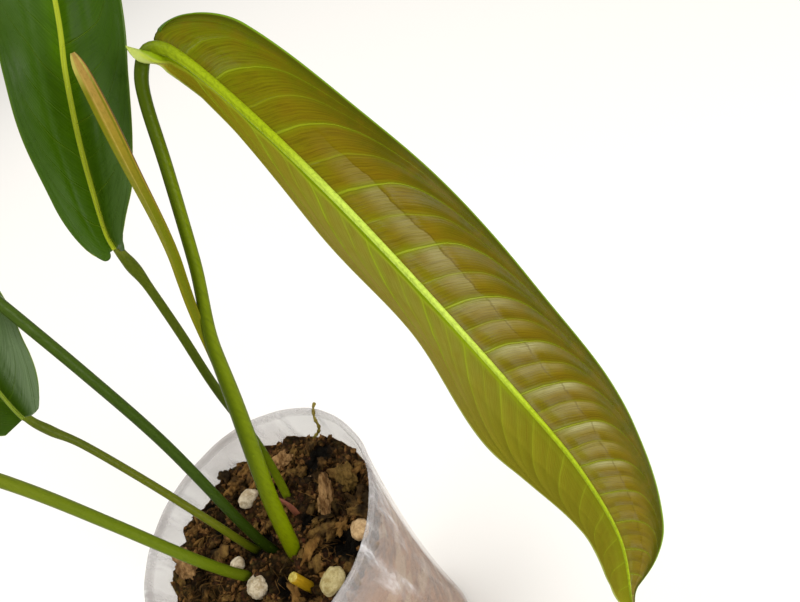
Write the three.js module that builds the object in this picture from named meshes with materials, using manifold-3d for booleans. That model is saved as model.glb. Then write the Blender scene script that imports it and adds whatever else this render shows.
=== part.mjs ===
// Potted philodendron heterocraspedon: five strap leaves in a tall frosted pot.
// Millimetres, +Z up, origin in the middle of the flat underside of the pot.

import * as THREE from 'three';
import { mergeVertices } from 'three/addons/utils/BufferGeometryUtils.js';
import Module from 'manifold-3d';

const wasm = await Module();
wasm.setup();

// Driving dimensions

const POT_HEIGHT = 150;
const RIM_RADIUS = 49;
const FLARE_SLOPE = 0.2068;
const FLARE_BEND = 0.000571;
const WALL = 1.2;
const FLOOR = 1.6;
const LIP_WIDTH = 2.4;
const LIP_DEPTH = 2.6;
const DRAIN_HOLES = 8;
const DRAIN_HOLE_RADIUS = 1.8;
const DRAIN_RING_RADIUS = 21;
const DRAIN_HOLE_SIDES = 10;

const GAP = 0.3;
const MIX_LEVEL = 137.6;
const MIX_SLOPE_X = -0.05;
const MIX_SLOPE_Y = -0.04;
const LUMP_HEIGHT = 1.5;

const CROWN_X = 0;
const CROWN_Y = -4;
const CROWN_TOP = 113;
const CROWN_RADIUS = 12.5;
const CROWN_HEIGHT = 27;
const ROOT_RADIUS = 1.6;

const BLADE_THICKNESS = 0.8;
const BASE_NARROWING = 0.2;
const BASE_ROUNDING = 0.11;
const LOBE_REACH = 0.14;
const FLAT_BELOW_WIDTH = 6;
const TIP_RIB_RADIUS = 0.5;
const FOOT_REACH = 1.25;
const LARGEST_FOOT_SHARE = 0.5;
const RIDGE_HEIGHT = 1.95;
const END_CROWDING = 0.45;
const CROWDING = 1.35;
const TINY = 1e-4;

const GREEN_UPPER = '#3c5f0e';
const GREEN_DEEP = '#2f4f12';
const BRONZE = '#7a5f12';
const PETIOLE_DARK = '#3f5a14';
const PETIOLE_LIGHT = '#6e8c32';

// Small tools

function point(xyz) {
  return new THREE.Vector3(...xyz);
}

// Value at x of a smooth curve through the rows [x, value] of a table.
function smoothAt(table, x, column = 1) {
  const last = table.length - 1;
  const at = Math.min(Math.max(x, table[0][0]), table[last][0]);
  let i = 0;
  while (i < last - 1 && at > table[i + 1][0]) i += 1;
  const slope = (k) => {
    const low = table[Math.max(k - 1, 0)];
    const high = table[Math.min(k + 1, last)];
    return (high[column] - low[column]) / (high[0] - low[0]);
  };
  const step = table[i + 1][0] - table[i][0];
  const u = (at - table[i][0]) / step;
  const start = table[i][column];
  const end = table[i + 1][column];
  return (2 * u ** 3 - 3 * u ** 2 + 1) * start + (u ** 3 - 2 * u ** 2 + u) * step * slope(i)
    + (3 * u ** 2 - 2 * u ** 3) * end + (u ** 3 - u ** 2) * step * slope(i + 1);
}

// A seeded draw between 0 and 1, the same on every run.
function makeRandom(seed) {
  let state = seed;
  return () => {
    state = (state * 16807) % 2147483647;
    return state / 2147483647;
  };
}

// Geometry from points and triangles, turned so that its faces point out.
function closedGeometry(points, triangles) {
  let volume = 0;
  const normal = new THREE.Vector3();
  for (const [a, b, c] of triangles) {
    volume += normal.crossVectors(points[b], points[c]).dot(points[a]);
  }
  const order = volume < 0 ? ([a, b, c]) => [a, c, b] : (t) => t;
  const geometry = new THREE.BufferGeometry().setFromPoints(points);
  geometry.setIndex(triangles.map(order).flat());
  geometry.computeVertexNormals();
  return geometry;
}

// A body lofted through rings of equally many points, closed at both ends.
function loft(rings) {
  const sides = rings[0].length;
  const points = rings.flat();
  const triangles = [];
  for (let r = 0; r < rings.length - 1; r += 1) {
    for (let k = 0; k < sides; k += 1) {
      const a = r * sides + k;
      const b = r * sides + ((k + 1) % sides);
      triangles.push([a, b, b + sides], [a, b + sides, a + sides]);
    }
  }
  for (const [ring, first] of [[rings[0], 0], [rings[rings.length - 1], points.length - sides]]) {
    const middle = ring.reduce((sum, p) => sum.add(p), new THREE.Vector3()).divideScalar(sides);
    const hub = points.push(middle) - 1;
    for (let k = 0; k < sides; k += 1) {
      const next = first + ((k + 1) % sides);
      triangles.push(first === 0 ? [hub, next, k] : [hub, first + k, next]);
    }
  }
  return closedGeometry(points, triangles);
}

function toSolid(geometry) {
  const bare = geometry.clone();
  for (const name of ['normal', 'uv']) bare.deleteAttribute(name);
  const merged = mergeVertices(bare, TINY);
  return new wasm.Manifold(new wasm.Mesh({
    numProp: 3,
    vertProperties: new Float32Array(merged.attributes.position.array),
    triVerts: new Uint32Array(merged.index.array),
  }));
}

// The largest connected piece of a solid, as a geometry.
function toGeometry(solid) {
  const pieces = solid.decompose();
  const volumeOf = (piece) => piece.volume();
  const largest = pieces.reduce((best, piece) => (volumeOf(piece) > volumeOf(best) ? piece : best));
  const mesh = largest.getMesh();
  const geometry = new THREE.BufferGeometry();
  geometry.setAttribute('position', new THREE.BufferAttribute(mesh.vertProperties, 3));
  geometry.setIndex(new THREE.BufferAttribute(mesh.triVerts, 1));
  geometry.computeVertexNormals();
  return geometry;
}

function lathe(profile, segments) {
  const geometry = new THREE.LatheGeometry(profile.map(([r, z]) => new THREE.Vector2(r, z)), segments);
  return geometry.rotateX(Math.PI / 2);
}

const model = new THREE.Group();

function addPart(name, geometry, color, roughness, extra = {}) {
  const material = new THREE.MeshStandardMaterial({ color, roughness, metalness: 0, ...extra });
  const mesh = new THREE.Mesh(geometry, material);
  mesh.name = name;
  model.add(mesh);
}

// Stalks: round tapering tubes along a smooth curve

class Stalk {
  constructor(points) {
    this.curve = new THREE.CatmullRomCurve3(points.map(point), false, 'catmullrom', 0.5);
    this.curve.arcLengthDivisions = 1200;
    this.points = points.length;
    this.length = this.curve.getLength();
  }

  // Length along the stalk at a place between two of its control points.
  lengthAt(index) {
    const t = index / (this.points - 1);
    const lengths = this.curve.getLengths();
    const place = t * (lengths.length - 1);
    const low = Math.floor(place);
    const high = Math.min(low + 1, lengths.length - 1);
    return lengths[low] + (lengths[high] - lengths[low]) * (place - low);
  }

  place(length) {
    return this.curve.getPointAt(Math.min(Math.max(length / this.length, 0), 1));
  }

  direction(length) {
    return this.curve.getTangentAt(Math.min(Math.max(length / this.length, 0), 1));
  }

  // Rings round the stalk, closer together towards its top, where it bends.
  // The first one lies flat because the stalk starts upright.
  rings(reach, steps, sides, radiusAt) {
    const across = new THREE.Vector3(1, 0, 0);
    const rings = [];
    for (let i = 0; i <= steps; i += 1) {
      const length = reach * (1 - (1 - i / steps) ** CROWDING);
      const centre = this.place(length);
      const along = this.direction(length);
      across.addScaledVector(along, -across.dot(along)).normalize();
      const second = new THREE.Vector3().crossVectors(along, across);
      const radius = radiusAt(length);
      rings.push(Array.from({ length: sides }, (_, k) => {
        const angle = (2 * Math.PI * k) / sides;
        return centre.clone()
          .addScaledVector(across, radius * Math.cos(angle))
          .addScaledVector(second, radius * Math.sin(angle));
      }));
    }
    return rings;
  }
}

// Leaves
// Each spine runs from the crown up the petiole and on along the midrib.
// "start" is the control point, or a place between two, where the blade begins.
// "face" is the way that the underside looks, from blade base to tip.
// A fold row gives the angle of one half of the blade at the midrib and at the margin.

const LEAVES = [
  {
    name: 'leaf_1',
    spine: [
      [5.2, -6.8, 113.3], [5.2, -6.8, 119], [6.5, -9.5, 137], [17.5, -2, 167], [29, 6.5, 197],
      [38, 13, 221], [48, 19.5, 242.5], [57.5, 27, 264], [63.8, 34, 279.2], [67.8, 37.5, 285.3],
      [73.1, 37.1, 288.6], [78.2, 31.9, 285], [84.3, 16.9, 270.2], [90.7, -2.1, 247.2],
      [96.9, -24.3, 216.7], [102.1, -46, 185.2], [104.7, -60.4, 162.8], [103.4, -73.3, 142.1],
      [96.4, -82.6, 125.5], [94.5, -84.8, 121.9],
    ],
    start: 10.35,
    petiole: { low: 2.3, high: 1.85, swell: 0.1, color: PETIOLE_DARK },
    ribRadius: 1.85,
    halfWidth: [[0, 15], [0.1, 18], [0.25, 21.7], [0.4, 25.5], [0.54, 25.7], [0.69, 25],
      [0.8, 20.6], [0.88, 13.4], [0.94, 8.7], [0.985, 4], [1, 0.8]],
    halfWidthRight: [[0, 15], [0.1, 18], [0.25, 21.7], [0.4, 25.5], [0.54, 25.7], [0.69, 25],
      [0.8, 20.6], [0.9, 14.2], [0.93, 10.5], [0.97, 4], [1, 0.8]],
    face: [[0, 0, -0.75, 0.66], [1, 0, -0.75, 0.66]],
    foldRight: [[0, -12, -44], [0.12, -12, 0], [0.3, -8, 20], [0.5, 0, 28], [0.7, 2, 30],
      [0.85, -3, 25], [1, -3, 25]],
    foldLeft: [[0, 66, 82], [0.12, 66, 82], [0.3, 58, 74], [0.5, 58, 74], [0.7, 40, 55],
      [0.85, 44, 60], [1, 41, 57]],
    lobes: [1.2, 0.3],
    wave: { height: 0.6, count: 5, right: 1.2, left: 2.1 },
    rows: 28,
    columns: 5,
    color: BRONZE,
  },
  {
    name: 'leaf_2',
    spine: [
      [5, 3.2, 113.3], [5, 3.2, 119], [11.5, 13, 137], [18.5, 17.5, 165], [22, 21, 195],
      [23.3, 32, 215], [24, 43, 231], [23.6, 47.5, 237.5], [24, 49.5, 244], [26.5, 51.5, 252],
      [36.5, 57, 272], [47.5, 60, 290], [57.5, 62, 304], [76, 65, 334], [90, 61, 362],
      [99, 51, 384], [103, 41, 397],
    ],
    start: 8,
    petiole: { low: 1.8, high: 1.55, swell: 0.75, color: PETIOLE_DARK },
    ribRadius: 1.6,
    halfWidth: [[0, 9.5], [0.12, 12.4], [0.25, 15], [0.4, 16.8], [0.55, 17], [0.7, 16],
      [0.82, 13.2], [0.92, 8.3], [1, 0.8]],
    halfWidthRight: [[0, 7], [0.06, 11.8], [0.12, 17.8], [0.2, 19.8], [0.31, 19.7], [0.4, 18.8],
      [0.55, 18.6], [0.7, 17.5], [0.82, 14.5], [0.92, 9], [1, 0.8]],
    face: [[0, 0.1, 0.82, -0.55], [0.35, 0.1, 0.82, -0.55], [1, 0.35, 0.75, 0.1]],
    foldRight: [[0, 35, 22], [0.15, 30, 15], [0.35, 8, -5], [0.6, 20, 8], [1, 30, 18]],
    foldLeft: [[0, 50, 36], [0.15, 52, 38], [0.3, 55, 40], [0.5, 50, 34], [1, 35, 22]],
    lobes: [1.2, 2.2],
    wave: { height: 0.9, count: 4, right: 0.4, left: 2.6 },
    rows: 21,
    columns: 4,
    color: GREEN_UPPER,
  },
  {
    name: 'leaf_3',
    spine: [
      [-6.8, 1, 113.3], [-6.8, 1, 119], [-9, 1, 137], [-9.5, 2, 160], [-16.2, 12.2, 184.7],
      [-22.5, 20.5, 207], [-26, 23, 217.5], [-28, 25.5, 225.5], [-28.3, 32, 237], [-27, 46, 259],
      [-26, 62, 288], [-28, 75, 318], [-34, 83, 346], [-42, 86, 370],
    ],
    start: 7,
    petiole: { low: 1.6, high: 1.3, swell: 0.35, color: PETIOLE_DARK },
    ribRadius: 1.5,
    halfWidth: [[0, 15.5], [0.12, 17.5], [0.2, 21], [0.3, 23.5], [0.4, 24], [0.55, 23.2],
      [0.7, 21.5], [0.82, 17.5], [0.92, 10.8], [1, 0.8]],
    face: [[0, 0.1, 0.75, -0.66], [0.5, 0.1, 0.75, -0.5], [1, -0.3, 0.7, 0.1]],
    foldRight: [[0, 8, -6], [0.3, 10, 0], [1, 30, 18]],
    foldLeft: [[0, 68, 60], [0.3, 50, 35], [1, 30, 18]],
    lobes: [0.8, 0],
    wave: { height: 0.8, count: 4, right: 1.4, left: 0.2 },
    rows: 20,
    columns: 4,
    color: GREEN_DEEP,
  },
  {
    name: 'leaf_4',
    spine: [
      [-1, -2.2, 113.3], [-1, -2.2, 119], [-1.8, -4.1, 137], [-1.1, -1.3, 157], [1.3, 7.9, 198],
      [1.2, 15, 234], [-1, 24, 272], [-2.5, 27, 284], [-8, 28.5, 295], [-16, 28, 301],
      [-38, 24, 306], [-74, 16, 301], [-106, 6, 276], [-128, -3, 240], [-140, -9, 200],
    ],
    start: 8,
    petiole: { low: 2, high: 1.7, swell: 0.25, color: PETIOLE_DARK },
    ribRadius: 1.8,
    halfWidth: [[0, 14], [0.12, 18], [0.25, 22], [0.4, 25.5], [0.55, 25.7], [0.7, 24.5],
      [0.82, 20], [0.92, 12.5], [1, 0.8]],
    face: [[0, -0.5, 0, -0.6], [0.35, 0, 0, -1], [1, 0.85, 0, -0.5]],
    foldRight: [[0, 25, 15], [1, 28, 18]],
    foldLeft: [[0, 25, 15], [1, 28, 18]],
    lobes: [2.5, 2.5],
    wave: { height: 0.9, count: 5, right: 0.9, left: 2.9 },
    rows: 21,
    columns: 4,
    color: GREEN_UPPER,
  },
  {
    name: 'leaf_5',
    spine: [
      [-7, -6.6, 113.3], [-7, -6.6, 119], [-13, -8.5, 137], [-16.5, -9.5, 162],
      [-23, -5, 193], [-27, -3.5, 221], [-29.5, -5, 242], [-31, -9, 256], [-34.5, -15, 264],
      [-39, -24, 269], [-52, -50, 268], [-64, -78, 248], [-72, -101, 218], [-76, -116, 184],
    ],
    start: 8,
    petiole: { low: 2.05, high: 1.9, swell: 0.25, color: PETIOLE_LIGHT },
    ribRadius: 1.9,
    halfWidth: [[0, 12.3], [0.12, 15.8], [0.25, 19.4], [0.4, 22.4], [0.55, 22.6], [0.7, 21.6],
      [0.82, 17.6], [0.92, 11], [1, 0.8]],
    face: [[0, -0.2, -0.4, -0.7], [0.35, 0, 0, -1], [1, 0.3, 0.8, -0.5]],
    foldRight: [[0, 25, 15], [1, 28, 18]],
    foldLeft: [[0, 25, 15], [1, 28, 18]],
    lobes: [1.8, 1.8],
    wave: { height: 0.8, count: 4, right: 2.2, left: 0.5 },
    rows: 20,
    columns: 4,
    color: GREEN_UPPER,
  },
];

const SWELL_CENTRE = 8;
const SWELL_LENGTH = 5;
const PETIOLE_SIDES = 8;
const PETIOLE_STEP = 11;

// Petiole radius: it tapers upwards and swells at the joint under the blade.
function petioleRadius(leaf, length, top) {
  const { low, high, swell } = leaf.petiole;
  const below = (top - SWELL_CENTRE - length) / SWELL_LENGTH;
  return low + ((high - low) * length) / top + swell * Math.exp(-below * below);
}

// Frame of the blade at share s of the midrib: place, way to the tip, way of the underside.
function bladeFrame(leaf, stalk, s) {
  const start = stalk.lengthAt(leaf.start);
  const length = start + s * (stalk.length - start);
  const along = stalk.direction(length);
  const under = point([1, 2, 3].map((column) => {
    const [low, high] = [leaf.face.findLast((row) => row[0] <= s), leaf.face.find((row) => row[0] >= s)];
    const share = high[0] > low[0] ? (s - low[0]) / (high[0] - low[0]) : 0;
    return low[column] + (high[column] - low[column]) * share;
  }));
  under.addScaledVector(along, -under.dot(along)).normalize();
  const left = new THREE.Vector3().crossVectors(along, under);
  return { place: stalk.place(length), along, under, left };
}

function ribRadius(leaf, s) {
  return leaf.ribRadius + (TIP_RIB_RADIUS - leaf.ribRadius) * s;
}

function halfWidth(leaf, s, side) {
  const nearBase = Math.max(1 - s / BASE_ROUNDING, 0);
  const table = side > 0 && leaf.halfWidthRight ? leaf.halfWidthRight : leaf.halfWidth;
  return smoothAt(table, s) * Math.sqrt(1 - (1 - BASE_NARROWING) * nearBase ** 2);
}

// Share of a half's width that the foot of the midrib takes.
function footShare(leaf, s, side) {
  return Math.min((FOOT_REACH * ribRadius(leaf, s)) / halfWidth(leaf, s, side), LARGEST_FOOT_SHARE);
}

// Point of the blade at share s of its length and share v of a half's width,
// "rise" above its middle surface, towards the upper side.
function bladePoint(leaf, frame, s, v, side, rise) {
  const fold = side < 0 ? leaf.foldLeft : leaf.foldRight;
  const width = halfWidth(leaf, s, side);
  const flatten = Math.min(1, width / FLAT_BELOW_WIDTH);
  const atRib = THREE.MathUtils.degToRad(smoothAt(fold, s, 1)) * flatten;
  const atMargin = THREE.MathUtils.degToRad(smoothAt(fold, s, 2)) * flatten;
  const turn = Math.abs(atMargin - atRib) < TINY ? TINY : atMargin - atRib;
  const tilt = v > 0 ? atRib + turn * v : 0;
  const out = (width * (Math.sin(atRib + turn * v) - Math.sin(atRib))) / turn - rise * Math.sin(tilt);
  const up = (-width * (Math.cos(atRib + turn * v) - Math.cos(atRib))) / turn + rise * Math.cos(tilt);
  const { height, count, right, left } = leaf.wave;
  const ripple = height * v ** 2 * Math.sqrt(Math.sin(Math.PI * s) + 1e-9)
    * Math.sin(2 * Math.PI * count * s + (side < 0 ? left : right));
  const foot = footShare(leaf, s, side);
  const beyondFoot = Math.max((v - foot) / (1 - foot), 0);
  const lobe = leaf.lobes[side < 0 ? 1 : 0] * Math.max(1 - s / LOBE_REACH, 0) ** 2
    * Math.sqrt(Math.max(1 - (2 * beyondFoot - 1) ** 2, 0));
  const behindRib = ribRadius(leaf, s) + GAP + BLADE_THICKNESS / 2;
  return frame.place.clone()
    .addScaledVector(frame.left, (side < 0 ? 1 : -1) * out)
    .addScaledVector(frame.under, -behindRib - up - ripple)
    .addScaledVector(frame.along, -lobe);
}

// Shares of a half's width where its columns stand: midrib, foot of the midrib, then even steps.
function columnShares(leaf, s, side) {
  const foot = footShare(leaf, s, side);
  const steps = leaf.columns - 1;
  return [0, ...Array.from({ length: steps + 1 }, (_, k) => foot + ((1 - foot) * k) / steps)];
}

// A blade with its midrib: the same triangles on both faces, joined round the margin.
function bladeGeometry(leaf, stalk) {
  const upper = [];
  const lower = [];
  for (let i = 0; i <= leaf.rows; i += 1) {
    const even = i / leaf.rows;
    const s = even + END_CROWDING * (0.5 * (1 - Math.cos(Math.PI * even)) - even);
    const frame = bladeFrame(leaf, stalk, s);
    const half = BLADE_THICKNESS / 2;
    const ridge = ribRadius(leaf, s) * RIDGE_HEIGHT + GAP + half;
    for (let j = -leaf.columns; j <= leaf.columns; j += 1) {
      const v = columnShares(leaf, s, Math.sign(j))[Math.abs(j)];
      upper.push(bladePoint(leaf, frame, s, v, Math.sign(j), half));
      lower.push(bladePoint(leaf, frame, s, v, Math.sign(j), j === 0 ? -ridge : -half));
    }
  }
  return closeSheet(upper, lower, leaf.rows, 2 * leaf.columns + 1);
}

function closeSheet(upper, lower, rows, columns) {
  const points = [...upper, ...lower];
  const shift = upper.length;
  const at = (i, j) => i * columns + j;
  const triangles = [];
  for (let i = 0; i < rows; i += 1) {
    for (let j = 0; j < columns - 1; j += 1) {
      const [a, b, c, d] = [at(i, j), at(i, j + 1), at(i + 1, j + 1), at(i + 1, j)];
      const halves = j < (columns - 1) / 2 ? [[a, b, c], [a, c, d]] : [[a, b, d], [b, c, d]];
      for (const [p, q, r] of halves) {
        triangles.push([p, q, r], [p + shift, r + shift, q + shift]);
      }
    }
  }
  const edge = [];
  for (let j = 0; j < columns - 1; j += 1) edge.push(at(0, j));
  for (let i = 0; i < rows; i += 1) edge.push(at(i, columns - 1));
  for (let j = columns - 1; j > 0; j -= 1) edge.push(at(rows, j));
  for (let i = rows; i > 0; i -= 1) edge.push(at(i, 0));
  edge.forEach((a, k) => {
    const b = edge[(k + 1) % edge.length];
    triangles.push([a, a + shift, b + shift], [a, b + shift, b]);
  });
  return closedGeometry(points, triangles);
}

// Holes that stems, crown and chunks make in the mix, a little wider than they are
const mixCutters = [];
const HOLE_CLEARANCE = 1.5 * GAP;
const JOINT_GAP = 1.4 * GAP;
const ABOVE_MIX = 20;
const HOLE_FLOOR = CROWN_TOP - 1;

function addLeaf(leaf) {
  const stalk = new Stalk(leaf.spine);
  const top = stalk.lengthAt(leaf.start) - JOINT_GAP;
  const radiusAt = (length) => petioleRadius(leaf, length, top);
  const steps = Math.round(top / PETIOLE_STEP);
  const ringsWider = (extra) => stalk.rings(top, steps, PETIOLE_SIDES, (l) => radiusAt(l) + extra);
  addPart(`${leaf.name}_petiole`, loft(ringsWider(0)), leaf.petiole.color, 0.45);
  addPart(`${leaf.name}_blade`, bladeGeometry(leaf, stalk), leaf.color, 0.4);
  cutHole(ringsWider(HOLE_CLEARANCE), HOLE_FLOOR);
}

// A hole in the mix has its stem's own rings, made wider, up to well above the surface,
// and goes on down to a level below the stem's end.
function cutHole(rings, down) {
  const inMix = rings.filter((ring) => ring[0].z < MIX_LEVEL + ABOVE_MIX);
  const deeper = inMix[0].map((p) => p.clone().setZ(down));
  mixCutters.push(toSolid(loft([deeper, ...inMix])));
}

LEAVES.forEach(addLeaf);

// Sheath of the next leaf: a flat face between two keels, rounded behind

const SHEATH_SPINE = [
  [-0.2, -8.6, 113.3], [-0.2, -8.6, 119], [1.6, -8.2, 137], [13, -0.4, 168.2], [24.4, 8.1, 198.2],
  [32.3, 13, 220], [42, 14.9, 240.2], [46.4, 18.5, 252.4], [50.7, 26.6, 270.7],
  [53.8, 35.1, 284.8], [56.1, 42.9, 296.8],
];
const SHEATH_WIDTH = [[0, 3.2], [0.4, 3], [0.68, 2.9], [0.78, 3.4], [0.9, 4.6], [0.97, 3.9], [1, 2.6]];
const SHEATH_SECTION = [
  [-0.5, 0.26], [-0.2, 0.14], [0.2, 0.14], [0.5, 0.26],
  [0.44, -0.14], [0.2, -0.36], [-0.2, -0.36], [-0.44, -0.14],
];
const SHEATH_FACE = point([0.1, -0.75, 0.66]);
const SHEATH_STEPS = 20;
const SHEATH_CLEARANCE = 2.6 * HOLE_CLEARANCE;

function sheathRings(stalk, extra) {
  const rings = [];
  for (let i = 0; i <= SHEATH_STEPS; i += 1) {
    const length = (stalk.length * i) / SHEATH_STEPS;
    const along = stalk.direction(length);
    const front = SHEATH_FACE.clone().addScaledVector(along, -SHEATH_FACE.dot(along)).normalize();
    const side = new THREE.Vector3().crossVectors(along, front);
    const width = smoothAt(SHEATH_WIDTH, length / stalk.length);
    rings.push(SHEATH_SECTION.map(([x, y]) => {
      const reach = width + extra / Math.hypot(x, y);
      return stalk.place(length).addScaledVector(side, x * reach).addScaledVector(front, y * reach);
    }));
  }
  return rings;
}

const sheathStalk = new Stalk(SHEATH_SPINE);
addPart('new_leaf_sheath', loft(sheathRings(sheathStalk, 0)), '#a58a4a', 0.5);
cutHole(sheathRings(sheathStalk, SHEATH_CLEARANCE), HOLE_FLOOR);

// Stub of an old petiole, cut off square above the mix

const STUB_SPINE = [
  [3.6, -13.2, 113.3], [3.6, -13.2, 118], [7.6, -24.5, 129], [8.2, -26.2, 137], [8.2, -26.6, 148.5],
];
const STUB_RADIUS = 1.9;
const stubStalk = new Stalk(STUB_SPINE);
const STUB_STEPS = 8;
const STUB_SIDES = 9;
const stubRings = (radius) => stubStalk.rings(stubStalk.length, STUB_STEPS, STUB_SIDES, () => radius);
addPart('cut_petiole_stub', loft(stubRings(STUB_RADIUS)), '#b08a1e', 0.5);
cutHole(stubRings(STUB_RADIUS + HOLE_CLEARANCE), HOLE_FLOOR);

// Dry brown scale beside the petioles

const SCALE_SPINE = [[10.6, 3.6, 131], [11.4, 3.3, 137], [11.4, 4.4, 142], [10.2, 6, 147.5]];
const SCALE_WIDTH = [[0, 2.6], [0.5, 3], [0.85, 1.8], [1, 0.8]];
const SCALE_THICKNESS = 0.7;
const SCALE_STEPS = 7;
const SCALE_ACROSS = [0.9, -0.4, 0];
const SCALE_SECTION = [[-1, 0.2], [-0.5, 1], [0.5, 1], [1, 0.2], [0.5, -1], [-0.5, -1]];
const scaleStalk = new Stalk(SCALE_SPINE);

function scaleRings(extra) {
  return Array.from({ length: SCALE_STEPS + 1 }, (_, i) => {
    const length = (scaleStalk.length * i) / SCALE_STEPS;
    const along = scaleStalk.direction(length);
    const side = point(SCALE_ACROSS);
    side.addScaledVector(along, -side.dot(along)).normalize();
    const front = new THREE.Vector3().crossVectors(along, side);
    const half = smoothAt(SCALE_WIDTH, i / SCALE_STEPS) / 2 + extra;
    const depth = SCALE_THICKNESS / 2 + extra;
    return SCALE_SECTION.map(([x, y]) => scaleStalk.place(length)
      .addScaledVector(side, x * half)
      .addScaledVector(front, y * depth));
  });
}

addPart('dry_scale', loft(scaleRings(0)), '#8a4f38', 0.8);
cutHole(scaleRings(HOLE_CLEARANCE), SCALE_SPINE[0][2] - 3 * GAP);

// Crown of the plant with its main roots, buried in the mix

const CROWN_FOOT_RADIUS = 5.6;
const CROWN_MIDDLE_RADIUS = 10.6;
const CROWN_MIDDLE = 96.8;
const CROWN_SHOULDER = 109;
const CROWN_SIDES = 14;
const ROOT_END_NARROWING = 0.5;
const ROOT_STEPS = 9;
const ROOT_SIDES = 6;
const ROOTS = [
  [[6, 2, 98], [16, 10, 84], [22, 16, 62], [21, 14, 36], [14, 6, 14]],
  [[-6, -2, 97], [-15, 2, 82], [-23, 12, 64], [-22, 18, 40], [-17, 20, 20]],
  [[-3, -10, 98], [-10, -20, 84], [-16, -24, 60], [-12, -24, 36], [-4, -20, 14]],
  [[6, -9, 97], [16, -16, 86], [24, -17, 66], [24, -12, 44], [20, -10, 26]],
];

function crownSolid(extra) {
  const bottom = CROWN_TOP - CROWN_HEIGHT - extra;
  const profile = [
    [0, bottom],
    [CROWN_FOOT_RADIUS + extra, bottom],
    [CROWN_MIDDLE_RADIUS + extra, CROWN_MIDDLE],
    [CROWN_RADIUS + extra, CROWN_SHOULDER],
    [CROWN_RADIUS + extra, CROWN_TOP + extra],
    [0, CROWN_TOP + extra],
  ];
  const stem = lathe(profile, CROWN_SIDES).translate(CROWN_X, CROWN_Y, 0);
  let solid = toSolid(stem);
  for (const root of ROOTS) {
    const stalk = new Stalk(root);
    const taper = (length) => ROOT_RADIUS * (1 - (ROOT_END_NARROWING * length) / stalk.length) + extra;
    const rings = stalk.rings(stalk.length, ROOT_STEPS, ROOT_SIDES, taper);
    const beyond = stalk.direction(stalk.length).multiplyScalar(extra);
    if (extra > 0) rings.push(rings[ROOT_STEPS].map((p) => p.clone().add(beyond)));
    solid = solid.add(toSolid(loft(rings)));
  }
  return solid;
}

addPart('crown_and_roots', toGeometry(crownSolid(0)), '#b39a6b', 0.8);
mixCutters.push(crownSolid(HOLE_CLEARANCE));

// Pot: a tall thin cup that flares towards the rim, with a thicker lip and drain holes

function potRadius(z) {
  const below = POT_HEIGHT - z;
  return RIM_RADIUS - FLARE_SLOPE * below + FLARE_BEND * below ** 2;
}

const POT_SEGMENTS = 36;
const POT_WALL_ROWS = 4;

const FLOOR_ROUNDING = 1.6;
const FOOT_CHAMFER = 2.2;
const FOOT_EDGE = 0.7;
const LIP_ROUNDING = 0.8;
const LIP_SLOPE = 1.6;
const WALL_LOW = FLOOR + FLOOR_ROUNDING;
const WALL_HIGH = POT_HEIGHT - LIP_DEPTH - LIP_SLOPE;

// Height of a row of the wall, from 0 at the floor to POT_WALL_ROWS just under the lip.
function wallLevel(row) {
  return WALL_LOW + ((WALL_HIGH - WALL_LOW) * row) / POT_WALL_ROWS;
}

function potProfile() {
  const foot = potRadius(0);
  const profile = [[0, 0], [foot - FOOT_CHAMFER, 0], [foot - FOOT_EDGE, FOOT_EDGE]];
  for (let row = 0; row <= POT_WALL_ROWS; row += 1) {
    const z = wallLevel(row);
    profile.push([potRadius(z), z]);
  }
  profile.push([RIM_RADIUS - 0.1, POT_HEIGHT - LIP_ROUNDING], [RIM_RADIUS - LIP_ROUNDING, POT_HEIGHT]);
  profile.push([RIM_RADIUS - LIP_WIDTH + LIP_ROUNDING, POT_HEIGHT]);
  profile.push([RIM_RADIUS - LIP_WIDTH, POT_HEIGHT - LIP_ROUNDING]);
  profile.push([RIM_RADIUS - LIP_WIDTH, POT_HEIGHT - LIP_DEPTH]);
  for (let i = POT_WALL_ROWS; i >= 0; i -= 1) {
    const z = wallLevel(i);
    profile.push([potRadius(z) - WALL, z]);
  }
  profile.push([foot - WALL - FLOOR_ROUNDING, FLOOR], [0, FLOOR]);
  return profile;
}

function potGeometry() {
  let solid = toSolid(lathe(potProfile(), POT_SEGMENTS));
  for (let k = 0; k < DRAIN_HOLES; k += 1) {
    const angle = (2 * Math.PI * k) / DRAIN_HOLES;
    const hole = new THREE.CylinderGeometry(
      DRAIN_HOLE_RADIUS,
      DRAIN_HOLE_RADIUS,
      3 * FLOOR,
      DRAIN_HOLE_SIDES,
    );
    hole.rotateX(Math.PI / 2);
    hole.translate(DRAIN_RING_RADIUS * Math.cos(angle), DRAIN_RING_RADIUS * Math.sin(angle), FLOOR / 2);
    solid = solid.subtract(toSolid(hole));
  }
  return toGeometry(solid);
}

addPart('pot', potGeometry(), '#cfd2d2', 0.35, { transparent: true, opacity: 0.6 });

// Chunks of perlite and bark that lie half sunk in the mix
// Place, mean radius, stretch along a compass angle, flatness, seed

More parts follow.
